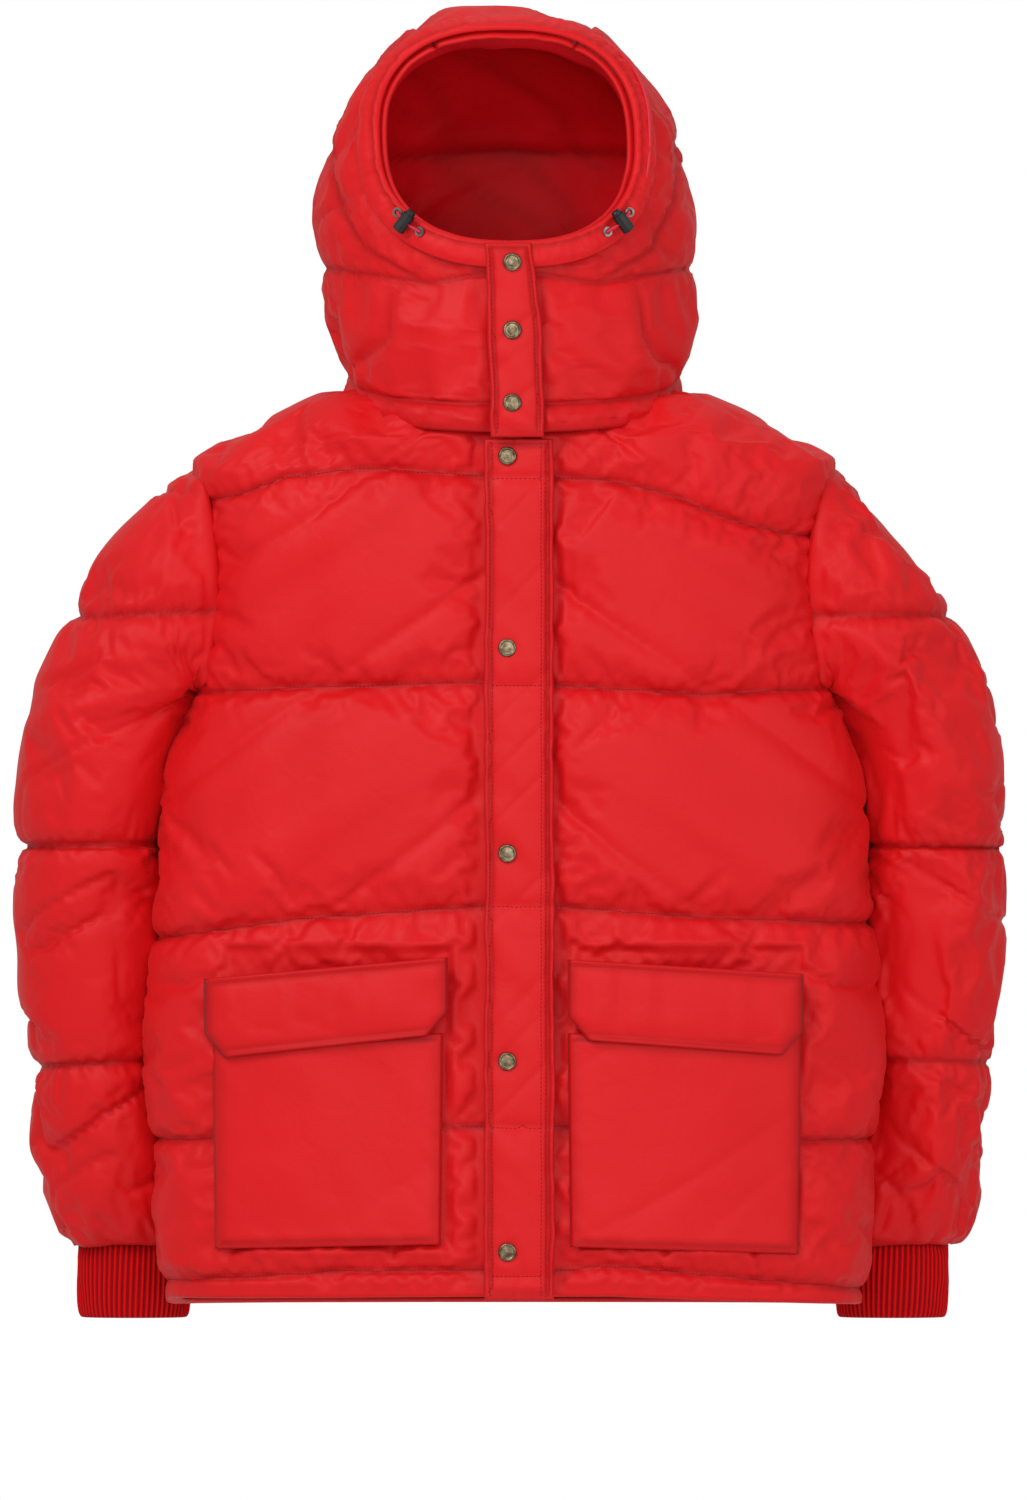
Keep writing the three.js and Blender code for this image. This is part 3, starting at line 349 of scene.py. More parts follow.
def finish_piece(obj, body, slot, *replaced):
    """The usual last step: it rides on a body and stands for its CAD nodes."""
    if body:
        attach(obj, body)
    if replaced:
        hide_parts(*replaced)
    print(obj.name, len(obj.data.polygons), "faces")
    return obj

# %% [markdown]
# ## The forms
# The body and the hood are each one form: a stack of level rings whose half width and front and
# back depths follow stations, as on a tailor's dummy. Every piece of the shell is drawn at some
# offset from these forms, so neighbours fit without any trying.


# %% Forms
class Form:
    def __init__(self, stations, sharpness):
        self.z, self.width, self.front, self.back = np.array(stations, float).T
        self.sharpness = sharpness

    def at(self, z):
        z = np.clip(z, self.z[0], self.z[-1])
        return [np.sqrt(np.maximum(through(self.z, side**2, z), 0.01))
                for side in (self.width, self.front, self.back)]

    def front_y(self, x, z, grow=0.0):
        width, front, _ = self.at(z)
        share = np.minimum(np.abs(x) / (width + grow), 0.9999) ** self.sharpness
        return -(front + grow) * (1 - share) ** (1 / self.sharpness)

    def ring(self, z, angle, grow=0.0):
        width, front, back = self.at(z)
        depth = np.where(np.sin(angle) < 0, front, back)
        bend = 2 / self.sharpness
        return np.stack(np.broadcast_arrays((width + grow) * power(np.cos(angle), bend),
                                            (depth + grow) * power(np.sin(angle), bend), z), -1)

    def facing(self, x, z, grow=0.0):
        step = 2.0
        dx = (self.front_y(x + step, z, grow) - self.front_y(x - step, z, grow)) / (2 * step)
        dz = (self.front_y(x, z + step, grow) - self.front_y(x, z - step, grow)) / (2 * step)
        n = np.array([dx, -1.0, dz])
        return n / np.linalg.norm(n)


TORSO = Form([
    (-745, 286, 119, 116), (-670.5, 291, 119, 114), (-536.4, 297, 119, 111), (-447, 294, 119, 112),
    (-335.25, 283, 119, 118), (-250, 268, 119, 122), (-160, 262, 119, 124), (-70, 265, 119, 118),
    (-25.9, 209.9, 119, 108), (-4.9, 162.5, 110, 100), (3, 130.4, 95, 95), (10, 112, 79, 92)], 2.8)
HOOD = Form([
    (-46, 130.7, 131, 108), (0, 133.8, 131, 110), (36.2, 144.4, 131, 118.6),
    (75.5, 150.5, 131, 139.8), (120.8, 152, 133, 152), (175.2, 147.4, 129, 152),
    (220.5, 135.3, 119, 144.4), (259.7, 111, 104, 121.6), (286.9, 80.6, 84, 88.2),
    (302, 46, 48, 46), (306, 1, 1, 1)], 2.35)

# %% [markdown]
# ## The quilted body
# Two layers of taffeta with loose fibre between them are sewn together along lines that run round
# the body. Each line pulls the cloth in and the filling pushes it out between, so a panel is a
# soft pillow. Near a seam there is more cloth than seam, and it gathers in short puckers that
# stand across the stitches. Long slanting folds run from the closure out to the sides.

# %% Quilt lines of the body
QUILT_LINES = [
    ([-260, -249, -185, -24, 34, 79, 143, 232, 262], [-92, -87, -62, -73, -74, -77, -91, -117, -122]),
    ([-270, -148, -27, 36, 151, 261], [-249, -244, -241, -243, -251, -245]),
    ([-296, -172, -27, 34, 151, 287], [-450, -433, -423, -423, -432, -437]),
    ([-286, -241, -55, 32, 232, 297], [-614, -612, -602, -602, -614, -614]),
    ([-278, -132, -27, 30, 70, 151, 289], [-731, -722, -722, -724, -718, -724, -734]),
]
FLAP_EDGES = (-30.0, 36.0)
ARMHOLE_CENTRE, ARMHOLE_RADIUS = (510.0, -160.0), 263.0


def quilt_height(line, x, y):
    """Where a quilt line runs at x, on the front or, straighter, on the back."""
    xs, zs = line
    front = np.interp(x, xs, zs)
    back = np.interp(x, [xs[0], xs[-1]], [zs[0], zs[-1]])
    return front + (back - front) * rise((y + 30) / 60)


def armhole_x(z):
    """How far out the armhole seam lies at a height."""
    span = np.clip(ARMHOLE_RADIUS**2 - (z - ARMHOLE_CENTRE[1])**2, 0, None)
    return ARMHOLE_CENTRE[0] - np.sqrt(span)


def swell(d, reach=15.0):
    """How far filled cloth has risen at a distance from a seam: steep first, then flat."""
    return 1 - np.exp(-np.abs(d) / reach)


def halfway(grid, axis):
    """The same skin with a point added between every two, on a smooth curve through four."""
    g = np.moveaxis(grid, axis, 0)
    ends = np.concatenate([2 * g[:1] - g[1:2], g, 2 * g[-1:] - g[-2:-1]])
    between = (9 * (ends[1:-2] + ends[2:-1]) - ends[:-3] - ends[3:]) / 16
    out = np.empty((2 * len(g) - 1,) + g.shape[1:])
    out[0::2], out[1::2] = g, between
    return np.moveaxis(out, 0, axis)


# %% Body skin
def body_levels(step):
    z = np.linspace(-745, 9, 3000)
    width = TORSO.at(z)[0]
    return even(np.stack([z, width], 1), int(900 / step))[:, 0]


def torso_columns(z, step_counts, grow=0.0):
    """One ring from the left front edge, round the back, to the right front edge."""
    parts = []
    width = float(TORSO.at(z)[0]) + grow
    tilt = lambda x: math.asin(min((abs(x) / width) ** (TORSO.sharpness / 2), 1)) * math.copysign(1, x)
    stops = [-math.pi / 2 + tilt(21), 0.0, math.pi, 3 * math.pi / 2 + tilt(7)]
    for a, b, count in zip(stops, stops[1:], step_counts):
        ring = TORSO.ring(z, np.linspace(a, b, 500), grow)
        parts.append(even(ring, count + 1)[:-1 if b != stops[-1] else None])
    return np.concatenate(parts)


SKIN_STEP = 6.0
COLUMN_COUNTS = (58, 118, 60)
levels = body_levels(SKIN_STEP)
body = np.stack([torso_columns(z, COLUMN_COUNTS) for z in levels])
body_normals = normals_of(body)
outward = np.sign((body_normals * (body - np.array([0, 0, 0])))[..., :2].sum(-1).mean())
body_normals *= outward
print("body grid", body.shape)


UNDER_HOOD_DIP = 7.0  # the body lies this much lower where the hood's hem covers it
SHOULDER_DROP = 10.0  # how far the shoulder falls between neck and armhole


def body_relief(grid):
    """Height of the puffed cloth over the form, and how much shade is painted on it, at each point."""
    x, y, z = grid[..., 0], grid[..., 1], grid[..., 2]
    gaps = np.stack([z - quilt_height(line, x, y) for line in QUILT_LINES])
    nearest = np.abs(gaps).argmin(0)
    d = np.take_along_axis(gaps, nearest[None], 0)[0]
    d = np.where((z > -40) & (np.abs(d) > 25), np.abs(d) * 0.6, d)
    front = rise((-y - 10) / 30)
    edge = np.minimum(np.abs(x - FLAP_EDGES[1]), np.abs(x - FLAP_EDGES[0]))
    under_flap = (x > FLAP_EDGES[0]) & (x < FLAP_EDGES[1]) & (y < 0)
    arm = np.abs(np.hypot(np.abs(x) - ARMHOLE_CENTRE[0], z - ARMHOLE_CENTRE[1]) - ARMHOLE_RADIUS)
    arm = np.where((z > -262) & (z < -58), arm, 200)
    side = np.where(z < -250, np.abs(y) * 1.6, 200)
    puff = swell(d) * (0.30 + 0.70 * swell(arm, 13)) * (0.55 + 0.45 * swell(side, 9))
    puff = puff * np.where(front > 0.5, 0.30 + 0.70 * swell(edge, 12), 1)
    # slanting folds, longer than they are wide, that fall outward from the closure
    lean = np.where(x > 3, 1.0, -1.0)
    along = (lean * x * 0.80 - z * 0.60)
    across = (lean * x * 0.60 + z * 0.80)
    wave = noise(across / 46, along / 190, y / 160, 3) + 0.5 * noise(across / 24, along / 120, 0, 4)
    folds = 2.4 * wave - 4.4 * crease(noise(across / 66 + 0.2, along / 330, y / 220, 5), 7)
    vertical = 1.6 * noise(x / 34, z / 120, y / 34, 6)
    # puckers across each quilt line, short and fading into the panel
    run = np.where(np.abs(y) > 60, x, y + x)
    slip = 0.35 * np.abs(d)
    gather = noise((run + slip) / 9, nearest * 7.3 + (d > 0) * 3.1, np.abs(d) / 60, 8)
    puckers = (2.6 * gather - 1.6 * crease(gather, 4)) * np.exp(-np.abs(d) / 17) * swell(d, 3)
    arm_run = noise((z + 0.4 * arm) / 9, np.sign(x), 0, 9)
    puckers = puckers + 1.8 * arm_run * np.exp(-arm / 15) * swell(arm, 3)
    shoulder = rise((z + 40) / 45)
    calm = swell(arm, 22)
    height = (-3.5 + 8.5 * puff + (folds + vertical) * calm * swell(d, 16) * (1 - 0.7 * shoulder)
              + 0.6 * puckers)
    beyond = (np.abs(x) > armhole_x(z)) & (z > -256) & (z < -64)
    height = np.where(beyond, -6.0, height)
    height = height * (1 - 0.75 * shoulder)
    under_hood = rise((z + 44 - 50 * (y + 131) / 241) / 12) * rise((168 - np.abs(x)) / 62)
    height = height * (1 - under_hood) - UNDER_HOOD_DIP * under_hood
    # flat where a pocket is sewn on and under the closure's flap
    pocket = ((np.abs(x) > 52) & (np.abs(x) < 233) & (z < -458) & (z > -700) & (y < 0))
    height = np.where(pocket, np.minimum(height, -2.0), height)
    height = np.where(under_flap, np.minimum(height, 0.5), height)
    hem = rise((-z - 726) / 19)
    height = height * (1 - hem) - 1.5 * hem
    # painted shade along the seams, round the armhole and in the fold creases
    shade_paint = np.exp(-np.abs(d) / 3) + 0.6 * np.exp(-arm / 4) + 0.2 * crease(wave, 8)
    return height, np.clip(shade_paint, 0, 1)


relief, shade_paint = body_relief(body)
skin = body + body_normals * relief[..., None]


# %% Cloth simulation of a skin
def settle(name, grid, pins, pressure, slack, cap, closed=False, frames=20):
    """Lets a skin swell and crease under its own extra cloth, held where it is pinned.

    It returns the grid after the simulation, with no point further than cap from its start.
    """
    rows, columns = grid.shape[:2]
    obj = piece(name + "_cloth", grid, grid_faces(rows, columns, closed), NYLON_TAFFETA)
    held = obj.vertex_groups.new(name="held")
    flat_pins = np.asarray(pins, float).ravel()
    for weight in np.unique(np.round(flat_pins, 1)):
        if weight > 0:
            held.add(np.nonzero(np.round(flat_pins, 1) == weight)[0].tolist(), float(weight), "REPLACE")
    cloth_modifier = obj.modifiers.new("cloth", "CLOTH")
    settings = cloth_modifier.settings
    settings.quality = 5
    settings.mass = 0.25
    settings.tension_stiffness = 18
    settings.compression_stiffness = 12
    settings.shear_stiffness = 6
    settings.bending_stiffness = 0.25
    settings.air_damping = 2
    settings.use_pressure = True
    settings.uniform_pressure_force = pressure
    settings.shrink_min = -slack
    settings.vertex_group_mass = "held"
    settings.pin_stiffness = 1
    settings.effector_weights.gravity = 0
    cloth_modifier.point_cache.frame_start = 1
    cloth_modifier.point_cache.frame_end = frames
    for step in range(1, frames + 1):
        scene.frame_set(step)
    graph = bpy.context.evaluated_depsgraph_get()
    mesh = obj.evaluated_get(graph).to_mesh()
    moved = np.zeros(rows * columns * 3, np.float32)
    mesh.vertices.foreach_get("co", moved)
    bpy.data.objects.remove(obj)
    scene.frame_set(1)
    moved = moved.reshape(rows, columns, 3) * 1000 + np.array([0, LOOP_BACK, 0])
    shift = moved - grid
    reach = np.linalg.norm(shift, axis=-1, keepdims=True)
    print(name, "cloth moved up to", round(float(reach.max()), 1), "mm, mean", round(float(reach.mean()), 1))
    return grid + shift * (cap / np.maximum(reach, cap))


# %% Body panels
def open_panel(name, grid, painted_shade, slot, nodes, material=NYLON_TAFFETA, wall=3.0):
    rows, columns = grid.shape[:2]
    made = piece(name, grid, grid_faces(rows, columns), material, painted_shade)
    thicken(made, wall)
    return finish_piece(made, "root", slot, *nodes)


seam_pin = (np.abs(np.stack([body[..., 2] - quilt_height(line, body[..., 0], body[..., 1])
                             for line in QUILT_LINES])).min(0) < 3.2)
seam_pin[:2] = True
seam_pin[-3:] = True
seam_pin[:, :3] = True
seam_pin[:, -3:] = True
front_zone = body[..., 1] < 0
seam_pin |= front_zone & (body[..., 0] > FLAP_EDGES[0]) & (body[..., 0] < FLAP_EDGES[1])
seam_pin |= (front_zone & (np.abs(body[..., 0]) > 50) & (np.abs(body[..., 0]) < 236)
             & (body[..., 2] < -476) & (body[..., 2] > -698))
first, last = COLUMN_COUNTS[0], COLUMN_COUNTS[0] + COLUMN_COUNTS[1]
seam_pin[:, [first, last]] = True
arm_gap = np.hypot(np.abs(body[..., 0]) - ARMHOLE_CENTRE[0], body[..., 2] - ARMHOLE_CENTRE[1])
seam_pin |= (arm_gap < ARMHOLE_RADIUS + 4) & (body[..., 2] < -60) & (body[..., 2] > -262)
skin = settle("body", skin, seam_pin, pressure=1.3, slack=0.045, cap=6.0)


# %% Sewn detail of the body
def sewn_detail(form_grid):
    """What is finer than the simulated net: the thread's groove and the tightest puckers."""
    x, y, z = form_grid[..., 0], form_grid[..., 1], form_grid[..., 2]
    gaps = np.stack([z - quilt_height(line, x, y) for line in QUILT_LINES])
    nearest = np.abs(gaps).argmin(0)
    d = np.take_along_axis(gaps, nearest[None], 0)[0]
    run = np.where(np.abs(y) > 60, x, y + x) + 0.4 * d
    fine = noise(run / 5.5, nearest * 3.7, d / 40, 11) * np.exp(-np.abs(d) / 9) * swell(d, 2)
    groove = -2.0 * np.exp(-((d / 2.4) ** 2))
    tucks = -1.6 * crease(noise(run / 14, nearest * 2.3 + (d > 0), d / 90, 12), 8)
    tucks = tucks * np.exp(-np.abs(d) / 26) * swell(d, 2)
    return 1.3 * fine + groove + tucks, d


form_fine = halfway(halfway(body, 0), 1)
skin = halfway(halfway(skin, 0), 1)
shade_paint = halfway(halfway(shade_paint, 0), 1)
fine_normals = normals_of(skin) * outward
detail, seam_distance = sewn_detail(form_fine)
quiet = ((form_fine[..., 1] < 0) & (np.abs(form_fine[..., 0]) > 50) & (np.abs(form_fine[..., 0]) < 236)
         & (form_fine[..., 2] < -474) & (form_fine[..., 2] > -702))
skin = skin + fine_normals * np.where(quiet, 0, detail)[..., None]
# painted shade: a thin dark line in the groove of each seam
shade_paint = np.clip(0.4 * shade_paint + 0.7 * np.exp(-((seam_distance / 2.2) ** 2)), 0, 1)
# the front hem rises a little at the closure, and the back hem hangs lower
low_part = rise((-form_fine[..., 2] - 690) / 55)
front_sag = np.interp(form_fine[..., 0], [-290, -30, 80, 290], [3.0, 5.5, 5.5, -2.5])
back_share = rise((form_fine[..., 1] + 40) / 80)
skin[..., 2] += low_part * (front_sag * (1 - back_share) - 4.0 * back_share)
first, last = 2 * first, 2 * last
# the shoulder slopes down to the armhole and meets the sleeve without a step
slope = rise((np.abs(form_fine[..., 0]) - 110) / 80) * rise((form_fine[..., 2] + 150) / 70)
slope = slope * (1 - 0.6 * rise((np.abs(form_fine[..., 0]) - 215) / 45))
skin[..., 2] -= SHOULDER_DROP * slope
lip = skin[:1] * 1.0
lip[..., :2] *= 0.985
lip[..., 2] -= 1.0
turned = skin[:1] * 1.0
turned[..., :2] *= 0.955
turned[..., 2] += 2.0
skin = np.concatenate([turned, lip, skin])
shade_paint = np.concatenate([shade_paint[:1], shade_paint[:1], shade_paint])
front_left = open_panel("body_front_left", skin[:, :first + 1], shade_paint[:, :first + 1],
                        "shell_red", ["front_panel_left"])
back = open_panel("body_back", skin[:, first:last + 1], shade_paint[:, first:last + 1],
                  "shell_red", ["back_panel"])
front_right = open_panel("body_front_right", skin[:, last:], shade_paint[:, last:],
                         "shell_red", ["front_panel_right"])

# %% [markdown]
# ## Sleeves
# A sleeve is a padded tube set into the curved armhole. Its first ring is the armhole seam itself,
# drawn on the body, and the rings after it follow the slanting stations of the hanging arm. The
# skin is cut at the elbow's quilt line into an upper and a lower half, which both stay fixed in the
# frame.

# %% Sleeve rings
# outer x and z, inner x and z, half depth and the y of the middle, from shoulder to cuff
SLEEVE_STATIONS = np.array([
    (283, -87, 259.5, -251, 77, 0), (316, -122, 262, -253, 78, 0), (360, -190, 268, -262, 78, 3),
    (388, -265, 280, -292, 77, 9), (401, -377, 291, -377, 73, 22), (398, -466, 292, -466, 71, 36),
    (391, -552, 289, -552, 67, 52), (380, -648, 278, -648, 61, 70), (370, -690, 266, -690, 52, 79),
    (361, -703, 264, -703, 45, 82)], float)
SLEEVE_ROWS, SLEEVE_COLUMNS = 118, 76
# each quilt line crosses the sleeve at these heights, at its outer and inner edge
SLEEVE_TUCK = 5.0  # how far the inner side reaches in behind the body's edge
SLEEVE_LINES = {1: [(-185, -187), (-377, -374), (-552, -549)],
                -1: [(-186, -183), (-375, -372), (-556, -549)]}


def sleeve_grid(sign):
    angle = np.linspace(0, 2 * np.pi, SLEEVE_COLUMNS, endpoint=False)
    z = -158 + 93 * np.cos(angle)
    x = armhole_x(z) - 8.0
    width, front, back_depth = TORSO.at(z)
    depth = np.where(np.sin(angle) < 0, front, back_depth)
    y = depth * (1 - np.minimum(x / width, 0.9995) ** 2.8) ** (1 / 2.8)
    y = np.maximum(y, 0) * np.sign(np.sin(angle)) * rise(np.abs(np.sin(angle)) * 2.2)
    rings = [np.stack([x, y, z], 1)]
    for ox, oz, ix, iz, half_depth, middle in SLEEVE_STATIONS:
        ix = ix - SLEEVE_TUCK * (iz < -260)
        across = np.array([(ox - ix) / 2, 0, (oz - iz) / 2])
        centre = np.array([(ox + ix) / 2, middle, (oz + iz) / 2])
        ring = centre + np.outer(power(np.cos(angle), 0.92), across)
        ring[:, 1] += half_depth * power(np.sin(angle), 0.92)
        rings.append(ring)
    rings = np.stack(rings)
    steps = np.r_[0, np.cumsum(np.linalg.norm(np.diff(rings, axis=0), axis=2).mean(1))]
    at = np.linspace(0, steps[-1], SLEEVE_ROWS)
    grid = np.stack([[through(steps, rings[:, c, a], at) for a in range(3)]
                     for c in range(SLEEVE_COLUMNS)], 0).transpose(2, 0, 1)
    grid[..., 0] *= sign
    return grid


def ring_normals(grid):
    """Outward normals of a closed tube of rings."""
    padded = np.concatenate([grid[:, -1:], grid, grid[:, :1]], axis=1)
    across = padded[:, 2:] - padded[:, :-2]
    down = np.gradient(grid, axis=0)
    n = np.cross(across, down)
    n /= np.maximum(np.linalg.norm(n, axis=-1, keepdims=True), 1e-9)
    centre = grid.mean(axis=1, keepdims=True)
    return n * np.sign(((grid - centre) * n).sum(-1).mean())


def sleeve_relief(grid, sign):
    x, z = np.abs(grid[..., 0]), grid[..., 2]
    columns = z.shape[1]
    run_down = np.r_[0, np.cumsum(np.linalg.norm(np.diff(grid, axis=0), axis=2).mean(1))][:, None]
    run_round = np.arange(columns)[None, :] / columns * 2 * np.pi
    share = (np.cos(run_round) + 1) / 2
    gaps = []
    for outer_z, inner_z in SLEEVE_LINES[sign]:
        gaps.append(z - (inner_z + (outer_z - inner_z) * share))
    gaps = np.stack(gaps)
    nearest = np.abs(gaps).argmin(0)
    d = np.take_along_axis(gaps, nearest[None], 0)[0]
    d = d + np.zeros_like(z)
    seam = run_down + np.zeros_like(z)
    end = run_down[-1] - run_down + np.zeros_like(z)
    puff = swell(d) * (0.50 + 0.50 * swell(seam, 12)) * (0.35 + 0.65 * swell(end, 9))
    c, s = np.cos(run_round), np.sin(run_round)
    wave = (noise(c * 1.5 + z / 60, s * 1.5, (z + 0.6 * x) / 75, 21 + sign)
            + 0.5 * noise(c * 3, s * 3 + z / 90, z / 34, 23 + sign))
    sag = crease(noise(z / 38 + c * 0.9, s * 1.2, x / 90, 25 + sign), 6)
    low = rise((-z - 560) / 120)
    folds = (3.0 + 2.0 * low) * wave - (3.6 + 2.4 * low) * sag
    slip = 0.35 * np.abs(d)
    gather = noise(c * 7 + slip / 30, s * 7, nearest * 5.1 + (d > 0), 27 + sign)
    puckers = (2.4 * gather - 1.6 * crease(gather, 4)) * np.exp(-np.abs(d) / 16) * swell(d, 3)
    pull = noise(c * 6, s * 6, seam / 50, 29 + sign) * np.exp(-seam / 24) * swell(seam, 4) * 3.2
    cuffs = noise(c * 9, s * 9, end / 40, 31 + sign) * np.exp(-end / 26) * swell(end, 3) * 4.2
    height = (-2.5 + 7.0 * puff + 0.75 * folds * swell(d, 16) * swell(seam, 18) + 0.6 * puckers
              + 0.7 * pull + cuffs)
    # painted shade in the seams, at the armhole, at the cuff end and in the sagging creases
    shade_paint = np.exp(-np.abs(d) / 3) + 0.7 * np.exp(-seam / 4) + 0.5 * np.exp(-end / 4)
    height = np.where(seam < 3, -1.5, height)
    # the inner side lies against the body and stays flat
    inward = rise((-np.cos(run_round) - 0.35) / 0.5) * rise((-z - 235) / 40)
    height = height * (1 - inward) + np.minimum(height, -1.0) * inward
    return height, np.clip(shade_paint + 0.25 * sag, 0, 1), np.abs(d) < 3.2


# %% Sleeves
ELBOW_Z = -377
for side, sign in (("left", 1), ("right", -1)):
    grid = sleeve_grid(sign)
    height, shade_paint, pinned = sleeve_relief(grid, sign)
    pinned[:3] = True
    pinned[-3:] = True
    tube = grid + ring_normals(grid) * height[..., None]
    tube = settle("sleeve_" + side, tube, pinned, pressure=1.5, slack=0.05, cap=6.0, closed=True)
    wrap = lambda g: halfway(np.concatenate([g[:, -2:], g, g[:, :3]], axis=1), 1)[:, 4:-5]
    grid, tube, shade_paint = (halfway(wrap(g), 0) for g in (grid, tube, shade_paint))
    share = (np.cos(np.arange(grid.shape[1]) / grid.shape[1] * 2 * np.pi) + 1) / 2
    lines = [grid[..., 2] - (zi + (zo - zi) * share) for zo, zi in SLEEVE_LINES[sign]]
    d = np.abs(np.stack(lines)).min(0)
    turn = np.arange(grid.shape[1]) / grid.shape[1] * 2 * np.pi
    fine = noise(np.cos(turn) * 12 + d / 14, np.sin(turn) * 12, d / 40, 35 + sign)
    detail = (1.3 * fine - 1.0 * crease(fine, 6)) * np.exp(-d / 10) * swell(d, 2)
    detail = detail - 2.0 * np.exp(-((d / 2.4) ** 2))
    tube = tube + ring_normals(tube) * detail[..., None]
    # painted shade: a thin dark line in the groove of each seam
    shade_paint = np.clip(0.4 * shade_paint + 0.7 * np.exp(-((d / 2.2) ** 2)), 0, 1)
    cut = int(np.abs(grid[:, :, 2].mean(1) - ELBOW_Z).argmin())
    order = tube if sign > 0 else tube[:, ::-1]
    marks = shade_paint if sign > 0 else shade_paint[:, ::-1]
    for part, rows in (("upper", slice(0, cut + 1)), ("lower", slice(cut, None))):
        ring = order[rows]
        count = len(ring)
        skin_piece = piece(f"sleeve_{part}_{side}", ring,
                           grid_faces(count, ring.shape[1], closed=True), NYLON_TAFFETA, marks[rows])
        test = skin_piece.data.polygons[count // 2 * ring.shape[1] + 10]
        if (test.center - Vector(ring[count // 2].mean(axis=0) / 1000
                                 - np.array([0, LOOP_BACK / 1000, 0]))).dot(test.normal) < 0:
            skin_piece.data.flip_normals()
        thicken(skin_piece, 3.0)
        if part == "upper":
            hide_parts(f"sleeve_head_{side}", f"upper_sleeve_{side}")
            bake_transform(skin_piece)
        else:
            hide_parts(f"lower_sleeve_{side}")
            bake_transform(skin_piece)
        print(skin_piece.name, len(skin_piece.data.polygons))

# %% [markdown]
# ## Hood
# The hood's skin is drawn as a net between two closed edges: the rim of the face opening and the
# neck edge. Each thread of the net starts at the rim, runs over the cheek or the crown and ends at
# the neck, so seams round the face and seams over the head both follow the net. A point of the
# net is a direction from the middle of the head, taken out to the hood's form.

# %% Hood net
FACE_X, FACE_Z, FACE_CENTRE, FACE_SHARPNESS = 101.0, 85.0, 203.0, 2.5
HEAD_MIDDLE = np.array([0.0, 5.0, 150.0])
HOOD_ROWS, HOOD_COLUMNS = 84, 156


def out_to_form(direction, grow):
    """How far along each direction the hood's form lies."""
    low = np.full(direction.shape[:-1], 5.0)
    high = np.full(direction.shape[:-1], 330.0)
    for _ in range(26):
        mid = (low + high) / 2
        p = HEAD_MIDDLE + direction * mid[..., None]
        width, front, back_depth = HOOD.at(p[..., 2] - grow * (p[..., 2] > 200))
        depth = np.where(p[..., 1] < 0, front, back_depth) + grow
        inside = ((np.abs(p[..., 0]) / (width + grow)) ** 2.35
                  + (np.abs(p[..., 1]) / depth) ** 2.35) < 1
        inside &= p[..., 2] < 306 + grow
        low = np.where(inside, mid, low)
        high = np.where(inside, high, mid)
    return HEAD_MIDDLE + direction * ((low + high) / 2)[..., None]


def neck_z(y):
    return -38 + 50 * (y + 131) / 241


def hood_net(grow, rows=HOOD_ROWS, columns=HOOD_COLUMNS, rim_grow=0.0, rise_edge=0.0):
    t = np.linspace(0, 2 * np.pi, columns, endpoint=False)
    c, s = np.cos(t), np.sin(t)
    rim_x = (FACE_X + rim_grow) * power(c, 2 / FACE_SHARPNESS)
    rim_z = FACE_CENTRE + (FACE_Z + rim_grow) * power(s, 2 / FACE_SHARPNESS)
    rim = np.stack([rim_x, HOOD.front_y(rim_x, rim_z, grow), rim_z], 1)
    base = HOOD.ring(np.zeros(columns), t, grow)
    base[:, 2] = neck_z(base[:, 1]) + rise_edge
    base = HOOD.ring(base[:, 2], t, grow)
    middle = np.stack([152 * c, -10 + 120 * s, 135 + 100 * s + 25 * s * s], 1)
    unit = lambda v: v / np.linalg.norm(v, axis=-1, keepdims=True)
    d0, d1, dm = unit(rim - HEAD_MIDDLE), unit(base - HEAD_MIDDLE), unit(middle - HEAD_MIDDLE)
    b = 2 * dm - (d0 + d1) / 2
    v = np.linspace(0, 1, 160)[:, None, None]
    ways = unit((1 - v) ** 2 * d0 + 2 * v * (1 - v) * b + v**2 * d1)
    points = out_to_form(ways, grow)
    points[0], points[-1] = rim, base
    return np.stack([even(points[:, i], rows) for i in range(columns)], axis=1)


hood = hood_net(0.0)
print("hood net", hood.shape)

# %% Hood relief
RIDGE = np.array([(126, 280), (139, 235), (142, 190), (137, 150), (118, 112), (72, 83), (27, 90), (0, 91)],
                 float)


def distance_to_line(x, z, line):
    best = np.full(x.shape, 1e9)
    for (ax, az), (bx, bz) in zip(line, line[1:]):
        t = ((x - ax) * (bx - ax) + (z - az) * (bz - az)) / ((bx - ax) ** 2 + (bz - az) ** 2)
        t = np.clip(t, 0, 1)
        best = np.minimum(best, np.hypot(x - ax - t * (bx - ax), z - az - t * (bz - az)))
    return best


def hood_runs(grid):
    step = np.linalg.norm(np.diff(grid, axis=0), axis=2)
    from_rim = np.concatenate([np.zeros((1, grid.shape[1])), np.cumsum(step, axis=0)])
    return from_rim, from_rim[-1:] - from_rim


GUSSET_COLUMNS = [round(HOOD_COLUMNS * share) for share in (60 / 360, 120 / 360)]


HOOD_HEM_LIFT = 6.0  # the hem stands this much off the body in front


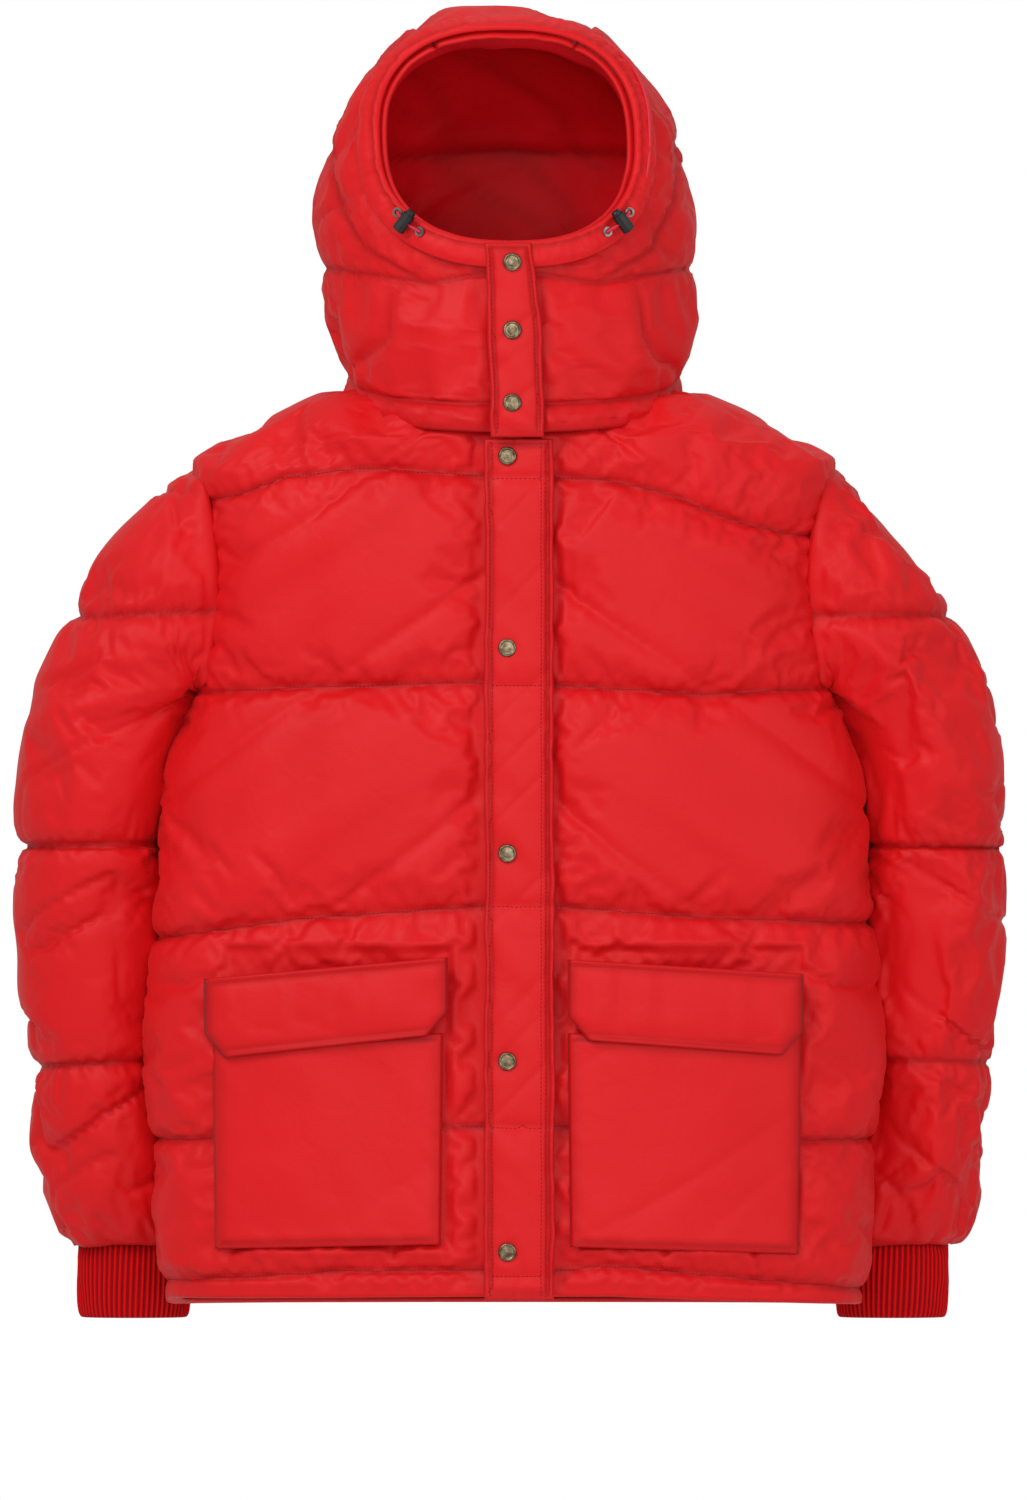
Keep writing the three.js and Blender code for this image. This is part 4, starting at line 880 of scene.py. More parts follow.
def hood_relief(grid):
    x, y, z = grid[..., 0], grid[..., 1], grid[..., 2]
    from_rim, from_neck = hood_runs(grid)
    in_gusset = np.zeros(z.shape, bool)
    in_gusset[:, GUSSET_COLUMNS[0]:GUSSET_COLUMNS[1] + 1] = True
    column = np.arange(grid.shape[1])[None, :]
    spacing = np.linalg.norm(np.diff(grid, axis=1, append=grid[:, :1]), axis=2)
    gusset = np.minimum(np.abs(column - GUSSET_COLUMNS[0]), np.abs(column - GUSSET_COLUMNS[1])) * spacing
    ridge = np.where((y < -20) & ~in_gusset, distance_to_line(np.abs(x), z, RIDGE), 200)
    outside = (np.abs(x) > np.interp(z, [83, 112, 150, 190, 235], [72, 118, 137, 142, 139])) | (y > -20)
    low = np.abs(z - np.interp(np.abs(x), [0, 27, 72, 160], [90, 90, 83, 99]))
    low = np.where((np.abs(x) < 72) & (y > -20), np.abs(z - 99), low)
    high = np.abs(z - np.where(x > 0, 200, 195))
    level = np.where(in_gusset & (y < 40), 200, np.minimum(low, np.where(outside, high, 200)))
    tape = np.abs(from_rim - 21)
    hem = np.abs(from_neck - 23)
    d = np.minimum(level, hem)
    puff = (swell(d, 14) * (0.35 + 0.65 * swell(gusset, 12)) * (0.35 + 0.65 * swell(ridge, 13))
            * (0.2 + 0.8 * swell(tape, 12)))
    run = np.where(np.abs(y) < 70, y, x) + 0.35 * d
    wave = noise(x / 40, y / 40, z / 40, 41) + 0.5 * noise(x / 22, y / 22, z / 22, 42)
    fold = crease(noise((0.7 * np.abs(x) + z) / 44, y / 70, x / 120, 43), 6)
    gather = noise(run / 8.5, z / 90, 0, 44)
    puckers = (2.2 * gather - 1.4 * crease(gather, 4)) * np.exp(-d / 14) * swell(d, 3)
    face_gather = noise(column / 2.6, from_rim / 60, 0, 45) * np.exp(-tape / 16) * swell(tape, 3) * 2.2
    height = -3.5 + 8.0 * puff + (1.8 * wave - 3.0 * fold) * swell(np.minimum(d, gusset), 16)
    height = height + 0.6 * puckers + 0.7 * face_gather
    height = np.where(from_rim < 21, -3.0 + 0.6 * gather, height)
    hem_roll = from_neck < 23
    height = np.where(hem_roll, -3.5 + 4.5 * np.sin(np.pi * np.clip(from_neck / 23, 0, 1)) + gather, height)
    height = height + HOOD_HEM_LIFT * rise((44 - from_neck) / 34) * rise((20 - y) / 60)
    # level under the press-stud flap
    covered = (x > -22) & (x < 25) & (y < -90) & (z < 118)
    height = np.where(covered, np.minimum(height, -2.0), height)
    height = height - 1.6 * np.exp(-((np.minimum(np.minimum(d, gusset), ridge) / 2.2) ** 2))
    # painted shade along the seams, the ridge, the tape and the neck edge, and in the fold creases
    shade_paint = 0.8 * np.exp(-((np.minimum(np.minimum(d, gusset), np.minimum(ridge, tape)) / 2.6) ** 2))
    shade_paint = shade_paint + 0.7 * np.exp(-from_neck / 2.5)
    pins = (d < 2.6) | (gusset < 2.6) | (ridge < 2.6) | (from_rim < 22) | (from_neck < 4) | covered
    return height, np.clip(shade_paint + 0.2 * fold, 0, 1), pins


def net_normals(grid):
    n = ring_normals(grid)
    return n * np.sign(((grid - HEAD_MIDDLE) * n).sum(-1).mean())


height, shade_paint, pins = hood_relief(hood)
hood_skin = hood + net_normals(hood) * height[..., None]
hood_skin = settle("hood", hood_skin, pins, pressure=1.2, slack=0.04, cap=5.0, closed=True)
HOOD_LEAN = -7.0


def lean(points):
    """The hood sits a little to the wearer's right of the closure."""
    moved = np.array(points, float)
    moved[..., 0] += HOOD_LEAN * rise((moved[..., 2] - 30) / 120) * rise((moved[..., 1] + 170) / 110)
    return moved


def columns_between(grid, a, b):
    index = np.arange(a, b + 1) % grid.shape[1]
    return grid[:, index]


def outward_open(name, grid, marks, material, wall, middle):
    rows, columns = grid.shape[:2]
    made = piece(name, grid, grid_faces(rows, columns), material, marks)
    test = made.data.polygons[len(made.data.polygons) // 2]
    centre = Vector((np.asarray(middle) - np.array([0, LOOP_BACK, 0])) / 1000)
    if (test.center - centre).dot(test.normal) < 0:
        made.data.flip_normals()
    return thicken(made, wall)


half = HOOD_COLUMNS * 3 // 4
hood_parts = (("hood_left_panel", half - HOOD_COLUMNS, GUSSET_COLUMNS[0], "hood_side_left"),
              ("hood_centre_panel", GUSSET_COLUMNS[0], GUSSET_COLUMNS[1], "hood_gusset"),
              ("hood_right_panel", GUSSET_COLUMNS[1], half, "hood_side_right"))
for name, a, b, node in hood_parts:
    made = outward_open(name, columns_between(lean(hood_skin), a, b), columns_between(shade_paint, a, b),
                        NYLON_TAFFETA, 3.0, HEAD_MIDDLE)
    finish_piece(made, "hood", "shell_red", node)

# %% [markdown]
# ## Linings
# The hood and the body are lined with a thinner, glossier, darker taffeta. It hangs loose behind
# the quilting, so it shows long slack folds and one cross seam, seen through the face opening.

# %% Hood lining
lining_net = hood_net(-13.0, rows=70, columns=132, rim_grow=2.0, rise_edge=16.0)
lx, ly, lz = lining_net[..., 0], lining_net[..., 1], lining_net[..., 2]
seam_gap = np.abs(lz - np.interp(lx, [-100, 0, 100], [190, 197, 194]))
slant = noise((lx * 0.5 + lz) / 34, lx / 110, ly / 90, 51)
slack = (3.0 * slant - 4.5 * crease(noise((lz - 0.45 * lx) / 52, lx / 150, 0.3, 52), 6)
         - 3.0 * crease(noise((lz + 0.8 * lx) / 60, lx / 170, 0.7, 53), 8)
         + 1.6 * noise(lx / 9, lz / 90, 0.0, 54) * np.exp(-seam_gap / 20))
slack = slack * swell(seam_gap, 9) + 3.5 * np.exp(-seam_gap / 4) - 2
rim_part = rise(hood_runs(lining_net)[0] / 22)
lining_skin = lining_net + net_normals(lining_net) * (slack * rim_part)[..., None]
closed = np.concatenate([lining_skin, lining_skin[:, :1]], axis=1)
# painted shade in the cross seam and in the creases of the slack folds
dark = np.clip(np.exp(-seam_gap / 3) + 0.5 * crease(slant, 7), 0, 1)
hood_lining = outward_open("hood_inner_lining", lean(closed), np.concatenate([dark, dark[:, :1]], 1),
                           LINING_TAFFETA, 1.4, HEAD_MIDDLE)
finish_piece(hood_lining, "hood", "lining_red", "hood_lining")

# %% Body lining
lining_levels = np.linspace(-731, 4, 84)
lining_grid = np.stack([torso_columns(z, (34, 70, 36), -16.0) for z in lining_levels])
bx, by, bz = lining_grid[..., 0], lining_grid[..., 1], lining_grid[..., 2]
hang = 2.2 * noise(bx / 60, bz / 230, by / 60, 55) - 2.0 * crease(noise(bx / 80, bz / 300, by / 80, 56), 6)
inside = normals_of(lining_grid)
inside *= np.sign((inside * lining_grid)[..., :2].sum(-1).mean())
lining_grid = lining_grid + inside * (hang - 2.5)[..., None]
# painted shade: the lining is darker where its folds sink into creases
body_lining = piece("body_inner_lining", lining_grid, grid_faces(*lining_grid.shape[:2]),
                    LINING_TAFFETA, np.clip(0.3 - hang / 8, 0, 1))
thicken(body_lining, 1.4)
finish_piece(body_lining, "root", "lining_red", "body_lining")

# %% [markdown]
# ## Flat sewn parts
# The closure's flap, the hood's flap, the pocket flaps and the patch pockets are all thin pads: two
# cloths with a little wadding, turned at a piped edge and stitched round. One function lays such a
# pad on a form: each row is a flat rounded section from its left end to its right end.

# %% Pads on a form
TORSO_FACE = lambda x, z, grow: TORSO.front_y(x, z, grow)
HOOD_FACE = lambda x, z, grow: HOOD.front_y(x, z, grow)


def pad(name, rows, face, stand, thickness, relief, material=NYLON_TAFFETA, count=84):
    """rows are (left x, right x, z at left, z at right); relief(x, z, from_edge) adds height."""
    rows = np.array(rows, float)
    phi = np.linspace(0, 2 * np.pi, 720, endpoint=False)
    section = np.stack([power(np.cos(phi), 2 / 9), power(np.sin(phi), 2 / 2.4)], 1)
    wide = (rows[:, 1] - rows[:, 0]).max() / thickness
    loop = even(np.concatenate([section, section[:1]]) * [wide, 1], count + 1)[:-1] / [wide, 1]
    across, up = loop[:, 0], loop[:, 1]
    half = (rows[:, 1] - rows[:, 0])[:, None] / 2
    x = (rows[:, 1] + rows[:, 0])[:, None] / 2 + half * across
    z = (rows[:, 2] + rows[:, 3])[:, None] / 2 + (rows[:, 3] - rows[:, 2])[:, None] / 2 * across
    end = np.minimum(np.abs(rows[:, 2] - rows[0, 2]), np.abs(rows[:, 2] - rows[-1, 2]))[:, None]
    fat = np.sqrt(np.clip(1 - (1 - np.minimum(end / (0.6 * thickness), 1)) ** 2, 0, 1))
    from_edge = np.minimum(half * (1 - np.abs(across)), end)
    lift = np.where(up > 0, relief(x, z, from_edge) * rise(up * 1.6), 0)
    grow = stand + thickness / 2 + thickness / 2 * up * fat + lift
    y = face(x, z, grow)
    points = np.stack([x, y, z], -1)
    total, columns = x.shape
    faces = grid_faces(total, columns, closed=True)
    flat = points.reshape(-1, 3)
    hubs = np.array([points[0].mean(0), points[-1].mean(0)])
    first_hub = total * columns
    last_row = (total - 1) * columns
    for i in range(columns):
        j = (i + 1) % columns
        faces.append([first_hub, j, i])
        faces.append([first_hub + 1, last_row + i, last_row + j])
    # painted shade in the stitched groove and along the turned edge
    edge_shade_paint = np.clip(np.exp(-np.abs(from_edge - 5) / 1.6) + 0.6 * np.exp(-from_edge / 1.2), 0, 1)
    made = piece(name, np.concatenate([flat, hubs]), faces, material, np.r_[edge_shade_paint.ravel(), 0, 0])
    test = made.data.polygons[columns * (total // 2) + columns // 4]
    if test.normal.y > 0:
        made.data.flip_normals()
    return made


def edge_groove(from_edge, at=5.0, width=1.5, depth=1.1):
    """A stitched line runs a little way in from the edge, and the edge itself stands as piping."""
    return -depth * np.exp(-((from_edge - at) / width) ** 2) + 0.8 * np.exp(-((from_edge - 1.8) / 1.8) ** 2)


# %% The closure's flap
FLAP_SEAMS = [-75.0, -244.0, -423.0, -602.0, -724.0]
SNAP_HEIGHTS = [-57.0, -213.0, -380.0, -549.0, -704.0]


def storm_relief(x, z, from_edge):
    gap = np.abs(z[..., None] - np.array(FLAP_SEAMS)).min(-1)
    snap = np.hypot(x[..., None] + 5, z[..., None] - np.array(SNAP_HEIGHTS)).min(-1)
    puckers = noise((x + 0.3 * gap) / 8, z / 80, 0, 61) * np.exp(-gap / 12) * swell(gap, 3) * 1.2
    edge_wave = noise(z / 9, np.sign(x), 0, 62) * np.exp(-from_edge / 9) * 0.9
    folds = 1.1 * noise((z + 0.8 * x) / 26, x / 60, 0, 63)
    folds = folds - 1.3 * crease(noise((z - x) / 40, x / 90, 0, 64), 6)
    rays = noise(np.arctan2(z + 0.0, x + 5) * 1.5, snap / 30, z / 100, 65) * np.exp(-snap / 16)
    height = 3.4 * swell(gap, 9) * swell(from_edge - 5, 7) - 1.2 * np.exp(-gap / 2.5)
    height = height + (puckers + folds) * swell(from_edge, 6) + edge_wave + edge_groove(from_edge)
    height = height + rays - 2.2 * np.exp(-(snap / 9) ** 2)
    right_seam = np.exp(-((x - 27.5) / 1.4) ** 2) * 1.2
    return height - right_seam


def straight_rows(left, right, top, bottom, step=3.0):
    z = np.r_[top, top - 0.6, top - 1.6, np.arange(top - 4, bottom + 4, -step), bottom + 1.6,
              bottom + 0.6, bottom]
    wob = lambda seed: 1.0 * noise(z / 40, 0, 0, seed) + 0.5 * noise(z / 13, 0, 0, seed + 1)
    return [(left(v) + a, right(v) + b, v, v) for v, a, b in zip(z, wob(66), wob(68))]


storm = pad("closure_flap", straight_rows(lambda z: -23.5, lambda z: 33.0, -43, -743),
            TORSO_FACE, 4.5, 6.0, storm_relief)
finish_piece(storm, "storm_flap", "shell_red", "storm_flap")

# %% The hood's flap
HOOD_SNAP_HEIGHTS = [-14.0, 45.0, 101.0]


def chin_relief(x, z, from_edge):
    snap = np.hypot(x[..., None] + 1, z[..., None] - np.array(HOOD_SNAP_HEIGHTS)).min(-1)
    folds = 1.3 * noise((z + x) / 24, x / 50, 0, 71)
    folds = folds - 1.5 * crease(noise((z - 0.8 * x) / 36, x / 90, 0, 72), 6)
    edge_wave = noise(z / 9, np.sign(x), 0, 73) * np.exp(-from_edge / 9) * 0.9
    height = 2.6 * swell(from_edge - 5, 7) + folds * swell(from_edge, 6) + edge_wave
    return height + edge_groove(from_edge) - 2.0 * np.exp(-(snap / 9) ** 2)


chin_left = lambda z: float(np.interp(z, [-42, 60, 116], [-18.5, -22, -24]))
chin_right = lambda z: float(np.interp(z, [-42, 60, 116], [26, 22, 15]))
chin = pad("hood_closure_flap", straight_rows(chin_left, chin_right, 116, -42), HOOD_FACE, 4.5, 6.0,
           chin_relief)
finish_piece(chin, "hood_flap", "shell_red", "hood_flap")

# %% Pocket flaps and patch pockets
POCKETS = {1: dict(inner=(44, 236), top=(-466, -478), drop=66, pouch=(46, 232), bottom=(-700, -706)),
           -1: dict(inner=(-252, -53), top=(-482, -464), drop=64, pouch=(-243, -59), bottom=(-702, -698))}


def pocket_flap_relief(x, z, from_edge):
    ripples = noise(x / 11, z / 60, 0, 81) * 1.2
    folds = 1.4 * noise((x * 0.6 + z) / 30, x / 70, 0, 82) - 1.4 * crease(noise(x / 34, z / 50, 0, 83), 6)
    return 2.8 * swell(from_edge - 5, 8) + (ripples + folds) * swell(from_edge, 8) + edge_groove(from_edge)


def pouch_relief(x, z, from_edge):
    wave = noise(x / 60, z / 70, 0, 84) + 0.5 * noise(x / 26, z / 34, 0, 85)
    fold = crease(noise((x * 0.7 - z) / 70, z / 200, 0, 86), 6)
    edge_wave = noise((x + z) / 9, 0, 0, 87) * np.exp(-from_edge / 10) * 1.2
    return (1.6 * wave - 1.4 * fold) * swell(from_edge, 16) + edge_wave + edge_groove(from_edge)


for side, sign in (("left", 1), ("right", -1)):
    p = POCKETS[sign]
    rows = []
    (xl, xr), (zl, zr) = p["inner"], p["top"]
    for share in np.r_[0, 0.01, 0.03, np.linspace(0.06, 0.94, 24), 0.97, 0.99, 1]:
        chamfer = max(0.0, (share - 0.70) / 0.30) * 17
        drop = share * p["drop"]
        rows.append((xl + chamfer, xr - chamfer, zl - drop, zr - drop))
    flap = pad(f"pocket_flap_{side}_pad", rows, TORSO_FACE, 12.0, 5.0, pocket_flap_relief)
    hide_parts(f"pocket_flap_{side}")
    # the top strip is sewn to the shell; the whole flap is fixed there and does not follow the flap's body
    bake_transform(flap)
    (xl, xr), (zl, zr) = p["pouch"], p["bottom"]
    rows = []
    for share in np.r_[0, 0.004, 0.012, np.linspace(0.03, 0.97, 56), 0.988, 0.996, 1]:
        rows.append((xl - 2 * (1 - share), xr + 2 * (1 - share),
                     -526 + share * (zl + 526), -526 + share * (zr + 526)))
    pouch = pad(f"pocket_{side}_pouch", rows, TORSO_FACE, 0.3, 10.2, pouch_relief)
    finish_piece(pouch, "root", "shell_red", f"pocket_{side}")

# %% [markdown]
# ## Rim of the hood
# Round the face opening runs a tunnel of doubled cloth with the drawcord inside. Drawing the
# cord gathers the cloth, so the tunnel is full of small cross creases between its two stitch lines.


# %% Drawcord tunnel
def rim_tube(grow, width, thick, count=360, around=26):
    t = np.linspace(0, 2 * np.pi, count, endpoint=False)
    net = hood_net(grow, rows=24, columns=count)
    from_rim = hood_runs(net)[0]
    take = lambda run: np.stack([[np.interp(run, from_rim[:, i], net[:, i, a]) for a in range(3)]
                                 for i in range(count)])
    near, far = take(0.5), take(width)
    n = net_normals(net)[3]
    middle, half = (near + far) / 2, (far - near) / 2
    phi = np.linspace(0, 2 * np.pi, around, endpoint=False)
    rows = []
    for angle in phi:
        u, v = power(np.cos(angle), 2 / 3.2), power(np.sin(angle), 2 / 2.6)
        gather = noise(t * 14 / np.pi * 4, u * 1.2, 0, 91) - 1.2 * crease(noise(t * 30, u, 0.4, 92), 4)
        stitch = -1.3 * math.exp(-((u + 0.45) / 0.12) ** 2) - 1.0 * math.exp(-((u - 0.8) / 0.12) ** 2)
        lift = thick / 2 * v + (max(v, 0) * (1.0 * gather + stitch))
        rows.append(middle + half * u + n * (thick / 2 + lift)[:, None])
    grid = np.stack(rows + rows[:1])
    # painted shade along the stitch line nearer the face opening
    marks = np.tile(np.clip(np.exp(-((np.cos(np.r_[phi, 0]) + 0.5) / 0.15) ** 2), 0, 1)[:, None], (1, count))
    return grid, marks


grid, marks = rim_tube(0.0, 22.0, 8.5)
tunnel = piece("drawcord_tunnel", lean(grid), grid_faces(grid.shape[0], grid.shape[1], closed=True),
               NYLON_TAFFETA, marks)
tunnel_mesh = tunnel.data
import bmesh
work = bmesh.new()
work.from_mesh(tunnel_mesh)
bmesh.ops.remove_doubles(work, verts=work.verts, dist=1e-6)
bmesh.ops.recalc_face_normals(work, faces=work.faces)
work.to_mesh(tunnel_mesh)
work.free()
finish_piece(tunnel, "hood", "shell_red", "hood_tunnel")

# %% [markdown]
# ## Rib cuffs
# A knitted cuff is a band of one-by-one rib: every second column of stitches stands forward. It is
# tighter than the sleeve that is gathered into it and flares a little at its free edge.

# %% Rib cuffs
RIB_COUNT = 62
CUFF_RINGS = np.array([(-694, 41, 35), (-700, 44.5, 38.5), (-712, 46.5, 40.5), (-731, 47, 41),
                       (-750, 46, 40), (-758, 45, 39), (-761.0, 44, 38), (-761.6, 42.5, 36.5)], float)


def cuff(side, sign):
    columns = RIB_COUNT * 6
    angle = np.linspace(0, 2 * np.pi, columns, endpoint=False)
    heights = even(CUFF_RINGS, 34)
    rib = np.cos(angle * RIB_COUNT)
    rib = np.sign(rib) * np.abs(rib) ** 0.6
    rings = []
    for z, half_width, half_depth in heights:
        fade = rise((z + 761.8) / 2.5)
        slack = 1.4 * noise(np.cos(angle) * 2, np.sin(angle) * 2, z / 30, 95 + sign)
        grow = 0.85 * rib * fade + slack
        twist = angle + 0.0009 * (z + 730) * noise(np.cos(angle), np.sin(angle), 0, 97)
        rings.append(np.stack([sign * 311 + (half_width + grow) * np.cos(twist),
                               82 + (half_depth + grow) * np.sin(twist),
                               np.full(columns, z) + 0.5 * rib * fade * (z < -755)], 1))
    grid = np.stack(rings)
    # painted shade in the hollows between the ribs
    painted_shade = np.tile(np.clip(0.5 - 0.6 * rib, 0, 1), (len(grid), 1))
    made = piece(f"rib_cuff_{side}_knit", grid, grid_faces(len(grid), columns, closed=True), RIB_KNIT,
                 painted_shade)
    test = made.data.polygons[columns * 5]
    centre = Vector((sign * 0.311, (82 - LOOP_BACK) / 1000, test.center.z))
    if (test.center - centre).dot(test.normal) < 0:
        made.data.flip_normals()
    thicken(made, 3.5)
    finish_piece(made, f"lower_sleeve_{side}", "rib_red", f"rib_cuff_{side}")


cuff("left", 1)
cuff("right", -1)

# %% [markdown]
# ## What repeats: stitches, zip teeth and snap caps
# Geometry Nodes put one small shape at even steps along a line, turned to follow it. The same tree
# sews the body's quilt lines and the stitching of the closure and hood flaps and sets the zip's teeth:
# only its named inputs change. A second tree sets one snap cap on each point, turned to the cloth's own
# slope. Both end as plain meshes.


# %% A tree that sets shapes along lines
def along_lines_tree():
    tree = bpy.data.node_groups.new("set_along_lines", "GeometryNodeTree")
    tree.interface.new_socket("Geometry", in_out="INPUT", socket_type="NodeSocketGeometry")
    for label in ("Pitch", "Length", "Width", "Depth"):
        tree.interface.new_socket(label, in_out="INPUT", socket_type="NodeSocketFloat")
    tree.interface.new_socket("Material", in_out="INPUT", socket_type="NodeSocketMaterial")
    tree.interface.new_socket("Geometry", in_out="OUTPUT", socket_type="NodeSocketGeometry")
    given = add(tree, "NodeGroupInput").outputs
    line = add(tree, "GeometryNodeMeshToCurve", {"Mesh": given["Geometry"]})
    steps = add(tree, "GeometryNodeResampleCurve",
                {"Curve": line.outputs["Curve"], "Length": given["Pitch"]}, mode="LENGTH")
    way = add(tree, "GeometryNodeInputTangent")
    turn = add(tree, "FunctionNodeAlignRotationToVector", {"Vector": way.outputs["Tangent"]}, axis="X")
    bead = add(tree, "GeometryNodeMeshUVSphere", {"Segments": 6, "Rings": 4, "Radius": 0.5})
    size = add(tree, "ShaderNodeCombineXYZ",
               {"X": given["Length"], "Y": given["Width"], "Z": given["Depth"]})
    placed = add(tree, "GeometryNodeInstanceOnPoints",
                 {"Points": steps.outputs["Curve"], "Instance": bead.outputs["Mesh"],
                  "Rotation": turn.outputs["Rotation"], "Scale": size.outputs["Vector"]})
    real = add(tree, "GeometryNodeRealizeInstances", {"Geometry": placed.outputs["Instances"]})
    smooth = add(tree, "GeometryNodeSetShadeSmooth", {"Geometry": real.outputs["Geometry"]})
    painted = add(tree, "GeometryNodeSetMaterial",
                  {"Geometry": smooth.outputs["Geometry"], "Material": given["Material"]})
    add(tree, "NodeGroupOutput", {"Geometry": painted.outputs["Geometry"]})
    return tree


ALONG_LINES = along_lines_tree()


def give(modifier, **values):
    """Sets a tree's named inputs by their identifiers."""
    for item in modifier.node_group.interface.items_tree:
        if item.in_out == "INPUT" and item.name in values:
            modifier[item.identifier] = values[item.name]


def set_along(name, lines, material, pitch, length, width, depth):
    """One plain mesh of small shapes along lines given in local millimetres."""
    points, edges = [], []
    for line in lines:
        start = len(points)
        points += [tuple(p) for p in line]
        edges += [(start + i, start + i + 1) for i in range(len(line) - 1)]
    placed = (np.array(points) - np.array([0, LOOP_BACK, 0])) / 1000
    mesh = bpy.data.meshes.new(name)
    mesh.from_pydata(placed.tolist(), edges, [])
    made = bpy.data.objects.new(name, mesh)
    scene.collection.objects.link(made)
    modifier = made.modifiers.new("shapes", "NODES")
    modifier.node_group = ALONG_LINES
    give(modifier, Pitch=pitch / 1000, Length=length / 1000, Width=width / 1000,
         Depth=depth / 1000, Material=material)
    return apply_all(made)


def drape(lines, targets, lift=0.25):
    """The same lines, laid on the nearest cloth."""
    points, polygons = [], []
    for obj in targets:
        start = len(points)
        points += [v.co.copy() for v in obj.data.vertices]
        polygons += [[start + i for i in p.vertices] for p in obj.data.polygons]
    tree = BVHTree.FromPolygons(points, polygons)
    laid = []
    for line in lines:
        way = []
        for p in np.asarray(line, float):
            spot = Vector((p - np.array([0, LOOP_BACK, 0])) / 1000)
            found, normal, _, _ = tree.find_nearest(spot)
            if (spot - found).dot(normal) < 0 and (spot - found).length > 0.0025:
                normal = -normal
            way.append(np.array(found + normal * lift / 1000) * 1000 + np.array([0, LOOP_BACK, 0]))
        laid.append(way)
    return laid


def lines_where(grid, field):
    """The lines on a grid along which a field is zero, one point for each column."""
    lines, current = [], []
    for c in range(grid.shape[1]):
        crossing = np.nonzero(field[:-1, c] * field[1:, c] <= 0)[0]
        point = None
        if len(crossing):
            i = crossing[0]
            share = field[i, c] / (field[i, c] - field[i + 1, c] + 1e-9)
            point = grid[i, c] * (1 - share) + grid[i + 1, c] * share
        if point is not None and (not current or np.linalg.norm(point - current[-1]) < 16):
            current.append(point)
        else:
            if len(current) > 2:
                lines.append(current)
            current = [point] if point is not None else []
    if len(current) > 2:
        lines.append(current)
    return lines


STITCH = dict(pitch=3.4, length=2.7, width=0.75, depth=0.6)

# %% Stitches of the body
body_lines = []
for line in QUILT_LINES:
    field = form_fine[..., 2] - quilt_height(line, form_fine[..., 0], form_fine[..., 1])
    body_lines += lines_where(skin[2:], field)
kept = []
for line in body_lines:
    line = np.array(line)
    hidden = ((line[:, 1] < 0) & (np.abs(line[:, 0]) > 44) & (np.abs(line[:, 0]) < 236)
              & (line[:, 2] < -480) & (line[:, 2] > -706))
    hidden |= (line[:, 1] < 0) & (line[:, 0] > -22) & (line[:, 0] < 32)
    hidden |= (np.abs(line[:, 0]) > armhole_x(line[:, 2]) - 2) & (line[:, 2] > -250)
    run = []
    for p, skip in zip(line, hidden):
        if skip:
            if len(run) > 2:
                kept.append(run)
            run = []
        else:
            run.append(p)
    if len(run) > 2:
        kept.append(run)
body_thread = set_along("body_quilt_stitches", drape(kept, [front_left, back, front_right]), THREAD, **STITCH)
finish_piece(body_thread, "root", "shell_red")


def column_line(x, top, bottom, face, grow):
    z = np.arange(top, bottom, -4.0)
    xs = np.array([x(v) for v in z])
    return np.stack([xs, face(xs, z, grow), z], 1)


storm_lines = [column_line(lambda z: -18.5, -47, -740, TORSO_FACE, 12),
               column_line(lambda z: 22.5, -47, -740, TORSO_FACE, 12),
               column_line(lambda z: 27.5, -47, -740, TORSO_FACE, 12)]
storm_lines += [np.stack([np.linspace(-17, 21, 12), np.full(12, -131.0), np.full(12, h)], 1)
                for h in FLAP_SEAMS]
finish_piece(set_along("closure_flap_stitches", drape(storm_lines, [storm]), THREAD, **STITCH),
             "storm_flap", "shell_red")
chin_lines = [column_line(lambda z: chin_left(z) + 5, 111, -38, HOOD_FACE, 12),
              column_line(lambda z: chin_right(z) - 5, 111, -38, HOOD_FACE, 12)]
finish_piece(set_along("hood_flap_stitches", drape(chin_lines, [chin]), THREAD, **STITCH),
             "hood_flap", "shell_red")

# %% Zip teeth and tapes
ZIP_MIDDLE = 14.0
for side, sign in (("left", 1), ("right", -1)):
    rows = straight_rows(lambda z: min(ZIP_MIDDLE + sign * 1.6, ZIP_MIDDLE + sign * 15),
                         lambda z: max(ZIP_MIDDLE + sign * 1.6, ZIP_MIDDLE + sign * 15), -52, -723, 8.0)
    rows = [(round(a, 0), round(b, 0), c, d) for a, b, c, d in rows]
    tape = pad(f"zip_tape_{side}_woven", rows, TORSO_FACE, -17.2, 1.2, lambda x, z, e: 0 * x, ZIP_TAPE_CLOTH,
               count=24)
    finish_piece(tape, "root", "tape_red", f"zip_tape_{side}")
    z = np.arange(-53.0, -722.0, -6.0)
    x = np.full(len(z), ZIP_MIDDLE + sign * 2.4)
    teeth = set_along(f"zip_teeth_{side}", [np.stack([x, TORSO_FACE(x, z, -16.6), z], 1)], BLACK_ACETAL,
                      pitch=2.2, length=1.5, width=3.0, depth=4.4)
    finish_piece(teeth, "root", "tape_red")


